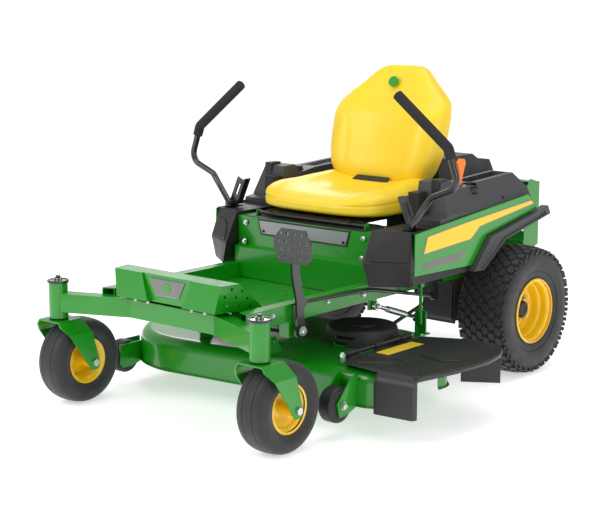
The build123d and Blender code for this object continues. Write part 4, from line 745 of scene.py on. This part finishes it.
# ------------------------------------------------------------------ seat
@dataclass
class Cushion:
    """A sculpted vinyl pad made from a rounded cube and puffed out a little."""

    name: str
    node: str
    cuts: int
    roundness: float
    sim_steps: int = 16
    puff_cap: float = 8.0
    fill: float = 0.85

    def shape(self, u: float, v: float, w: float) -> Vector:
        """Place of a rounded-cube point, each number from -1 to 1."""
        raise NotImplementedError

    def seam(self, place: Vector) -> float:
        """Depth of the sewn grooves at a point of the surface."""
        raise NotImplementedError

    def build(self) -> None:
        """Make the pad, sew its grooves, puff it and let it ride with the seat."""
        bm = bmesh.new()
        bmesh.ops.create_cube(bm, size=2.0)
        bmesh.ops.subdivide_edges(bm, edges=bm.edges[:], cuts=self.cuts, use_grid_fill=True)
        power = self.roundness
        for vert in bm.verts:
            u, v, w = vert.co
            size = (abs(u) ** power + abs(v) ** power + abs(w) ** power) ** (1 / power)
            vert.co = self.shape(u / size, v / size, w / size)
        bm.normal_update()
        moves = [(vert, vert.normal * -self.seam(vert.co)) for vert in bm.verts]
        for vert, move in moves:
            vert.co += move
        piece = SHOP.finish(self.name, bm, VINYL, "seat", [self.node], smooth=70.0)
        self.puff(piece)
        fine = piece.modifiers.new("fine", "SUBSURF")
        fine.levels = fine.render_levels = 1

    def puff(self, piece: Object) -> None:
        """Blow the cover out a little against its seams, by a short cloth simulation.

        Args:
            piece: The pad, whose mesh takes the simulated shape.
        """
        mesh = piece.data
        pinned = piece.vertex_groups.new(name="seams")
        for vert in mesh.vertices:
            place = SHOP.place.inverted() @ vert.co
            hold = min(1.0, 0.35 + self.seam(place) * 0.4)
            pinned.add([vert.index], hold, "REPLACE")
        cloth = piece.modifiers.new("cover", "CLOTH")
        cloth.settings.quality = 4
        cloth.settings.use_pressure = True
        cloth.settings.uniform_pressure_force = 4.0
        cloth.settings.tension_stiffness = 25.0
        cloth.settings.compression_stiffness = 25.0
        cloth.settings.shear_stiffness = 12.0
        cloth.settings.bending_stiffness = 1.5
        cloth.settings.vertex_group_mass = "seams"
        cloth.settings.pin_stiffness = 0.6
        cloth.settings.effector_weights.gravity = 0.0
        cloth.collision_settings.use_collision = False
        scene = bpy.context.scene
        scene.frame_start, scene.frame_end = 1, self.sim_steps
        for step in range(1, self.sim_steps + 1):
            scene.frame_set(step)
        view = bpy.context.evaluated_depsgraph_get()
        moved = piece.evaluated_get(view).to_mesh()
        cap = self.puff_cap * MM
        rest = [v.co.copy() for v in mesh.vertices]
        for vert, new, old in zip(mesh.vertices, moved.vertices, rest):
            way = new.co - old
            if way.length > cap:
                way = way.normalized() * cap
            vert.co = old + way
        piece.evaluated_get(view).to_mesh_clear()
        piece.modifiers.remove(cloth)
        piece.vertex_groups.clear()
        scene.frame_set(1)


def ramp(table: Sequence[tuple[float, float]], at: float) -> float:
    """Value of a smooth curve without overshoot through (place, value) pairs in rising order."""
    if at <= table[0][0]:
        return table[0][1]
    if at >= table[-1][0]:
        return table[-1][1]
    rises = [(y1 - y0) / (x1 - x0) for (x0, y0), (x1, y1) in zip(table, table[1:])]

    def slope(k: int) -> float:
        if k == 0 or k == len(rises):
            return rises[min(k, len(rises) - 1)]
        before, after = rises[k - 1], rises[k]
        return 2 * before * after / (before + after) if before * after > 0 else 0.0

    k = next(i for i in range(len(rises)) if at <= table[i + 1][0])
    (x0, y0), (x1, y1) = table[k], table[k + 1]
    span = x1 - x0
    t = (at - x0) / span
    return (y0 * (1 + 2 * t) * (1 - t) ** 2 + y1 * t * t * (3 - 2 * t)
            + span * (slope(k) * t * (1 - t) ** 2 - slope(k + 1) * t * t * (1 - t)))


def bell(distance: float, width: float) -> float:
    """One at no distance, falling to nothing over a few widths."""
    return math.exp(-(distance / width) ** 2)


class BackRest(Cushion):
    """Back rest with side bolsters, a centre panel and a head pad."""

    HALF = ((640, 200), (700, 219), (800, 235), (880, 239), (930, 230), (965, 200), (995, 166), (1025, 142),
            (1060, 124))
    FRONT = ((640, -255), (667, -252), (700, -248), (760, -232), (850, -205), (893, -190), (950, -152),
             (1000, -124), (1030, -110), (1060, -92))
    REAR = ((640, -105), (700, -100), (760, -90), (850, -72), (900, -62), (1030, -32), (1060, -34))
    SEAM_X = ((660, 112), (770, 116), (866, 134), (915, 152), (957, 188), (1000, 230))

    def shape(self, u: float, v: float, w: float) -> Vector:
        """Across, through and up the back rest."""
        z = 850.0 + 210.0 * w
        half = ramp(self.HALF, z)
        front, rear = ramp(self.FRONT, z), ramp(self.REAR, z)
        x = u * half
        middle = (front + rear) / 2
        y = middle + v * (rear - front) / 2
        facing = max(0.0, -v)
        lobe = bell(abs(x) - half * 0.74, 62.0)
        body = ramp(((640, 0.2), (720, 1.0), (880, 1.0), (960, 0.25), (1060, 0.0)), z)
        y -= facing * 24.0 * lobe * body
        y += facing * 12.0 * bell(x, 120.0) * ramp(((640, 0.0), (760, 1.0), (900, 0.8), (960, 0.0)), z)
        y -= max(0.0, v) * 42.0 * abs(u) ** 3
        return Vector((x, y, z))

    def seam(self, place: Vector) -> float:
        """Panel seams, the head pad's seam and the side piping."""
        z = place.z
        middle = (ramp(self.FRONT, z) + ramp(self.REAR, z)) / 2
        if place.y > middle + 6:
            return 1.8 * bell(place.y - middle - 20, 5.0)
        depth = 2.6 * bell(abs(place.x) - ramp(self.SEAM_X, z), 5.0) * ramp(((655, 0.0), (680, 1.0)), z)
        if z > 940:
            edge = ramp(((0, 955), (88, 957), (128, 984), (142, 1032), (150, 1060)), abs(place.x))
            depth = 2.4 * bell(z - edge, 5.0)
        else:
            edge = ramp(((0, 955), (88, 957), (120, 975)), abs(place.x))
            depth += 2.4 * bell(z - edge, 5.0) * (abs(place.x) < 100)
        return min(depth, 2.8)


class SeatBase(Cushion):
    """Seat cushion with side bolsters, a dished middle and a waterfall front."""

    HALF = ((-606, 214), (-560, 250), (-480, 262), (-380, 258), (-280, 240), (-150, 212))
    TOP = ((-606, 640), (-560, 655), (-500, 661), (-400, 656), (-300, 662), (-200, 672), (-150, 655))

    def shape(self, u: float, v: float, w: float) -> Vector:
        """Across, along and up the cushion."""
        y = -378.0 + 228.0 * v
        half = ramp(self.HALF, y)
        x = u * half
        y -= 14.0 * (1 - u * u) * max(0.0, -v) ** 3
        top = ramp(self.TOP, y)
        bottom = 580.0 + 10.0 * max(0.0, -v) ** 4
        lobe = bell(abs(x) - half * 0.80, 58.0)
        rise = ramp(((-606, 0.2), (-520, 0.6), (-330, 1.0), (-150, 0.9)), y)
        z = bottom + (w + 1) / 2 * (top - bottom)
        z += max(0.0, w) * 26.0 * lobe * rise
        z -= max(0.0, w) * 7.0 * bell(x, 110.0) * bell(y + 400, 110.0)
        return Vector((x, y, z))

    def seam(self, place: Vector) -> float:
        """Centre panel seams, the bolster seams and the piping round the front."""
        x, y, z = place
        depth = 0.0
        if z > 626:
            depth = 2.2 * bell(abs(x) - ramp(((-606, 128), (-520, 124), (-300, 112)), y), 4.5) * (y < -585)
            line = ramp(((-600, 128), (-560, 150), (-460, 176), (-360, 186), (-250, 176)), y)
            depth += 2.4 * bell(abs(x) - line, 4.5)
        edge = ramp(((-606, 626), (-400, 632), (-150, 630)), y)
        depth += 2.2 * bell(z - edge, 4.0)
        return min(depth, 2.6)


@dataclass
class Seat:
    """The hinged seat."""

    def build(self) -> None:
        """Make the pan, the two pads, the crease strip and the plain badge."""
        SHOP.soften("seat_pan", BLACK_STEEL, "seat", bevel=1.0)
        SeatBase("seat_cushion_cover", "seat_cushion", 46, 5.0).build()
        BackRest("seat_back_cover", "seat_back", 50, 4.6).build()
        strip = bmesh.new()
        plate(strip, [(-78, -268, 662), (78, -268, 662), (70, -246, 676), (-70, -246, 676)], (0, -4, 4))
        SHOP.finish("crease_strip", strip, BLACK_PLASTIC, "seat", bevel=1.2)
        badge = bmesh.new()
        face = Vector((0, -0.87, 0.42)).normalized()
        centre = Vector((0, -137, 1006))
        bar(badge, centre - face * 6, centre + face * 3.2, 19.0, sides=48)
        SHOP.finish("plain_badge", badge, GREEN_PANEL, "seat", bevel=0.8)


# ------------------------------------------------------------------ the rest
@dataclass
class Controls:
    """Levers, lift linkage, throttle, knob and caps."""

    def build(self) -> None:
        """Dress every control."""
        for side in Side:
            word = side.word
            SHOP.soften(f"lever_bracket_{word}", BLACK_STEEL, f"lever_drive_{word}", bevel=0.8)
            SHOP.soften(f"lever_tube_{word}", BLACK_STEEL, f"lever_swing_{word}", bevel=0.0, angle=40.0)
            SHOP.soften(f"lever_grip_{word}", FOAM, f"lever_swing_{word}", bevel=3.0, segments=3, angle=50.0)
        SHOP.soften("lift_pedal", BLACK_STEEL, "lift_pedal", bevel=1.2, segments=3)
        SHOP.soften("lift_rod", BLACK_STEEL, "lift_rod", bevel=0.6)
        SHOP.soften("lift_shaft", BLACK_STEEL, "lift_shaft", bevel=1.0)
        SHOP.soften("drag_link", ZINC, "drag_link", bevel=0.8)
        SHOP.soften("throttle_lever", ORANGE, "throttle", bevel=1.6, segments=3)
        SHOP.soften("control_knob", BLACK_PLASTIC, "control_knob", bevel=1.5, segments=3)
        SHOP.soften("fuel_cap", BLACK_PLASTIC, "fuel_cap", bevel=1.2)
        SHOP.soften("fuel_tank", TANK_PLASTIC, "frame", bevel=0.0)


@dataclass
class Deck:
    """Cutting deck with its brackets, covers, chute, rollers and blades."""

    chute_top: float = 213.0

    def build(self) -> None:
        """Dress the deck and what hangs on it."""
        SHOP.soften("deck_shell", GREEN, "deck", bevel=1.4, segments=3)
        SHOP.soften("deck_brackets", GREEN, "deck", bevel=0.8)
        SHOP.soften("deck_belt", BELT, "deck", bevel=0.8)
        SHOP.soften("belt_covers", BLACK_PLASTIC, "deck", bevel=2.0, segments=3)
        SHOP.soften("chute", CHUTE_PLASTIC, "chute", bevel=3.0, segments=4)
        for side in Side:
            SHOP.soften(f"blade_{side.word}", BLACK_STEEL, f"blade_{side.word}", bevel=0.6)
            SHOP.soften(f"roller_{side.word}", BLACK_PLASTIC, f"roller_{side.word}", bevel=1.0)
        self.films()
        self.chute_ribs()
        self.fasteners()

    def films(self) -> None:
        """Plain yellow film on the chute."""
        z = self.chute_top
        bm = bmesh.new()
        plate(bm, [(436, -792, z - 0.3), (436, -604, z - 0.3), (486, -604, z - 0.3), (486, -792, z - 0.3)],
              (0, 0, 0.8))
        SHOP.finish("chute_film", bm, DECAL_YELLOW, "chute")

    def chute_ribs(self) -> None:
        """Moulded ridges, a raised blister and the rolled bead of the chute."""
        z = self.chute_top
        bm = bmesh.new()
        for points in ([(436, -832, z), (529, -812, z), (640, -872, z), (703, -920, z)],
                       [(470, -922, z - 1), (560, -873, z), (640, -906, z), (706, -938, z - 1)]):
            tube(bm, flow(points, 8), 3.2, 10)
        mouth = [(711, -958, z - 5), (745, -800, z - 5), (755, -652, z - 5), (734, -544, z - 5),
                 (691, -482, z - 5),
                 (640, -464, z - 5), (566, -457, z - 5)]
        tube(bm, flow(mouth, 8), 6.2, 12)
        SHOP.finish("chute_ridges", bm, CHUTE_PLASTIC, "chute", smooth=60.0)
        blister = bmesh.new()
        plate(blister, [(564, -729, z - 1), (641, -664, z - 1), (711, -713, z - 1), (662, -755, z - 1)],
              (0, 0, 5))
        SHOP.finish("chute_blister", blister, CHUTE_PLASTIC, "chute", bevel=2.4, segments=3)


    def fasteners(self) -> None:
        """Plated bolts of the rollers, the chute's ears and the deck's front, and the dark hinge sleeve."""
        heads = bmesh.new()
        for side in Side:
            s = side.value
            bolt(heads, (s * 499.5, -1030, 103), (s, 0, 0), 18.0, 1.5)
            bolt(heads, (s * 376, -470, 199.4), (0, 0, 1), 13.0)
            bolt(heads, (s * 152, -976, 226), (0, -1, 0), 11.0)
        for y, way in ((-918.2, -1), (-565.8, 1)):
            bolt(heads, (405, y, 223), (0, way, 0), 13.0)
        SHOP.finish("deck_bolts", heads, ZINC, "deck", bevel=0.5)
        sleeve = bmesh.new()
        for start, end in ((-911, -904.6), (-849.4, -760.6), (-709.4, -622.6), (-573.4, -566.6)):
            bar(sleeve, (405, start, 223), (405, end, 223), 7.0)
        SHOP.finish("chute_hinge_sleeve", sleeve, BLACK_STEEL, "deck", bevel=0.3)


@dataclass
class PowerTrain:
    """Engine, silencer, battery and transaxles."""

    def build(self) -> None:
        """Dress the power train."""
        SHOP.soften("engine_block", CAST, "frame", bevel=1.0)
        SHOP.soften("engine_cover", BLACK_PLASTIC, "frame", bevel=4.0, segments=3)
        SHOP.soften("muffler", BLACK_STEEL, "frame", bevel=1.0)
        SHOP.soften("battery", BLACK_PLASTIC, "frame", bevel=1.5)
        SHOP.soften("transaxles", CAST, "frame", bevel=1.5)
        SHOP.soften("engine_pulley", BLACK_STEEL, "engine_pulley", bevel=1.0)
        SHOP.soften("arch_trims", GREY_PLASTIC, "frame", bevel=3.0, segments=3)


# ------------------------------------------------------------------ studio
@dataclass
class Studio:
    """Pale floor, soft lights and the camera."""

    floor_radius: float = 30.0
    azimuth: float = 40.47
    elevation: float = 10.51
    distance: float = 5.2367
    lens: float = 92.376
    target: tuple[float, float, float] = (-40.1, -600.0, 436.65)
    air_light: float = 0.55
    floor_glow: float = 0.52

    def floor(self) -> None:
        """Lay the pale floor."""
        bm = bmesh.new()
        bmesh.ops.create_circle(bm, cap_ends=True, segments=96, radius=self.floor_radius)
        mesh = bpy.data.meshes.new("studio_floor")
        bm.to_mesh(mesh)
        bm.free()
        paper = bpy.data.materials.new("pale_floor")
        paper.use_nodes = True
        shader = paper.node_tree.nodes["Principled BSDF"]
        shader.inputs["Base Color"].default_value = (0.95, 0.95, 0.95, 1.0)
        shader.inputs["Roughness"].default_value = 0.9
        shader.inputs["Specular IOR Level"].default_value = 0.0
        shader.inputs["Emission Color"].default_value = (1.0, 1.0, 1.0, 1.0)
        shader.inputs["Emission Strength"].default_value = self.floor_glow
        mesh.materials.append(paper)
        floor = bpy.data.objects.new("studio_floor", mesh)
        bpy.context.scene.collection.objects.link(floor)

    def light(self, name: str, place: Point, size: tuple[float, float], power: float) -> None:
        """Hang a soft rectangular light that faces the machine.

        Args:
            name: The light's name.
            place: Where it hangs, in metres.
            size: Its width and height in metres.
            power: Its power in watts.
        """
        lamp = bpy.data.lights.new(name, "AREA")
        lamp.shape = "RECTANGLE"
        lamp.size, lamp.size_y = size
        lamp.energy = power
        item = bpy.data.objects.new(name, lamp)
        item.location = place
        item.rotation_euler = (Vector((0, 0, 0.4)) - Vector(place)).to_track_quat("-Z", "Y").to_euler()
        bpy.context.scene.collection.objects.link(item)

    def build(self) -> None:
        """Set the floor, the lights, the surroundings and the camera."""
        self.floor()
        self.light("key_light", (-1.6, -4.2, 3.4), (2.6, 2.0), 85.0)
        self.light("fill_light", (4.6, -1.4, 2.2), (2.4, 2.4), 45.0)
        self.light("top_light", (0.2, 0.4, 4.6), (3.2, 3.2), 60.0)
        self.light("rear_light", (-3.4, 3.4, 2.6), (2.4, 1.6), 40.0)
        world = bpy.data.worlds.new("studio_air")
        world.use_nodes = True
        air = world.node_tree.nodes["Background"]
        air.inputs["Color"].default_value = (1.0, 1.0, 1.0, 1.0)
        path = world.node_tree.nodes.new("ShaderNodeLightPath")
        gain = world.node_tree.nodes.new("ShaderNodeMapRange")
        gain.inputs["To Min"].default_value = self.air_light
        gain.inputs["To Max"].default_value = 1.1
        world.node_tree.links.new(path.outputs["Is Camera Ray"], gain.inputs["Value"])
        world.node_tree.links.new(gain.outputs["Result"], air.inputs["Strength"])
        scene = bpy.context.scene
        scene.world = world
        scene.view_settings.view_transform = "Standard"
        turn, rise = math.radians(self.azimuth), math.radians(self.elevation)
        away = Vector((math.sin(turn) * math.cos(rise), -math.cos(turn) * math.cos(rise), math.sin(rise)))
        aim = SHOP.place @ Vector(self.target)
        camera = bpy.data.cameras.new("studio_camera")
        camera.lens = self.lens
        camera.sensor_width = 36.0
        camera.clip_end = 100.0
        item = bpy.data.objects.new("studio_camera", camera)
        item.location = aim + away * self.distance
        item.rotation_euler = (-away).to_track_quat("-Z", "Y").to_euler()
        scene.collection.objects.link(item)
        scene.camera = item


def main() -> None:
    """Build every sub-assembly in order."""
    logging.basicConfig(level=logging.INFO, format="%(message)s")
    Chassis().build()
    PowerTrain().build()
    for side in Side:
        Fender(side).build()
        Caster(side).build()
        FrontWheel(side).build()
        RearWheel(side).build()
    Controls().build()
    Deck().build()
    Seat().build()
    Studio().build()
    left = sorted(set(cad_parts) - SHOP.used)
    LOG.info("CAD nodes still shown: %s", left)


if __name__ == "__main__":
    main()
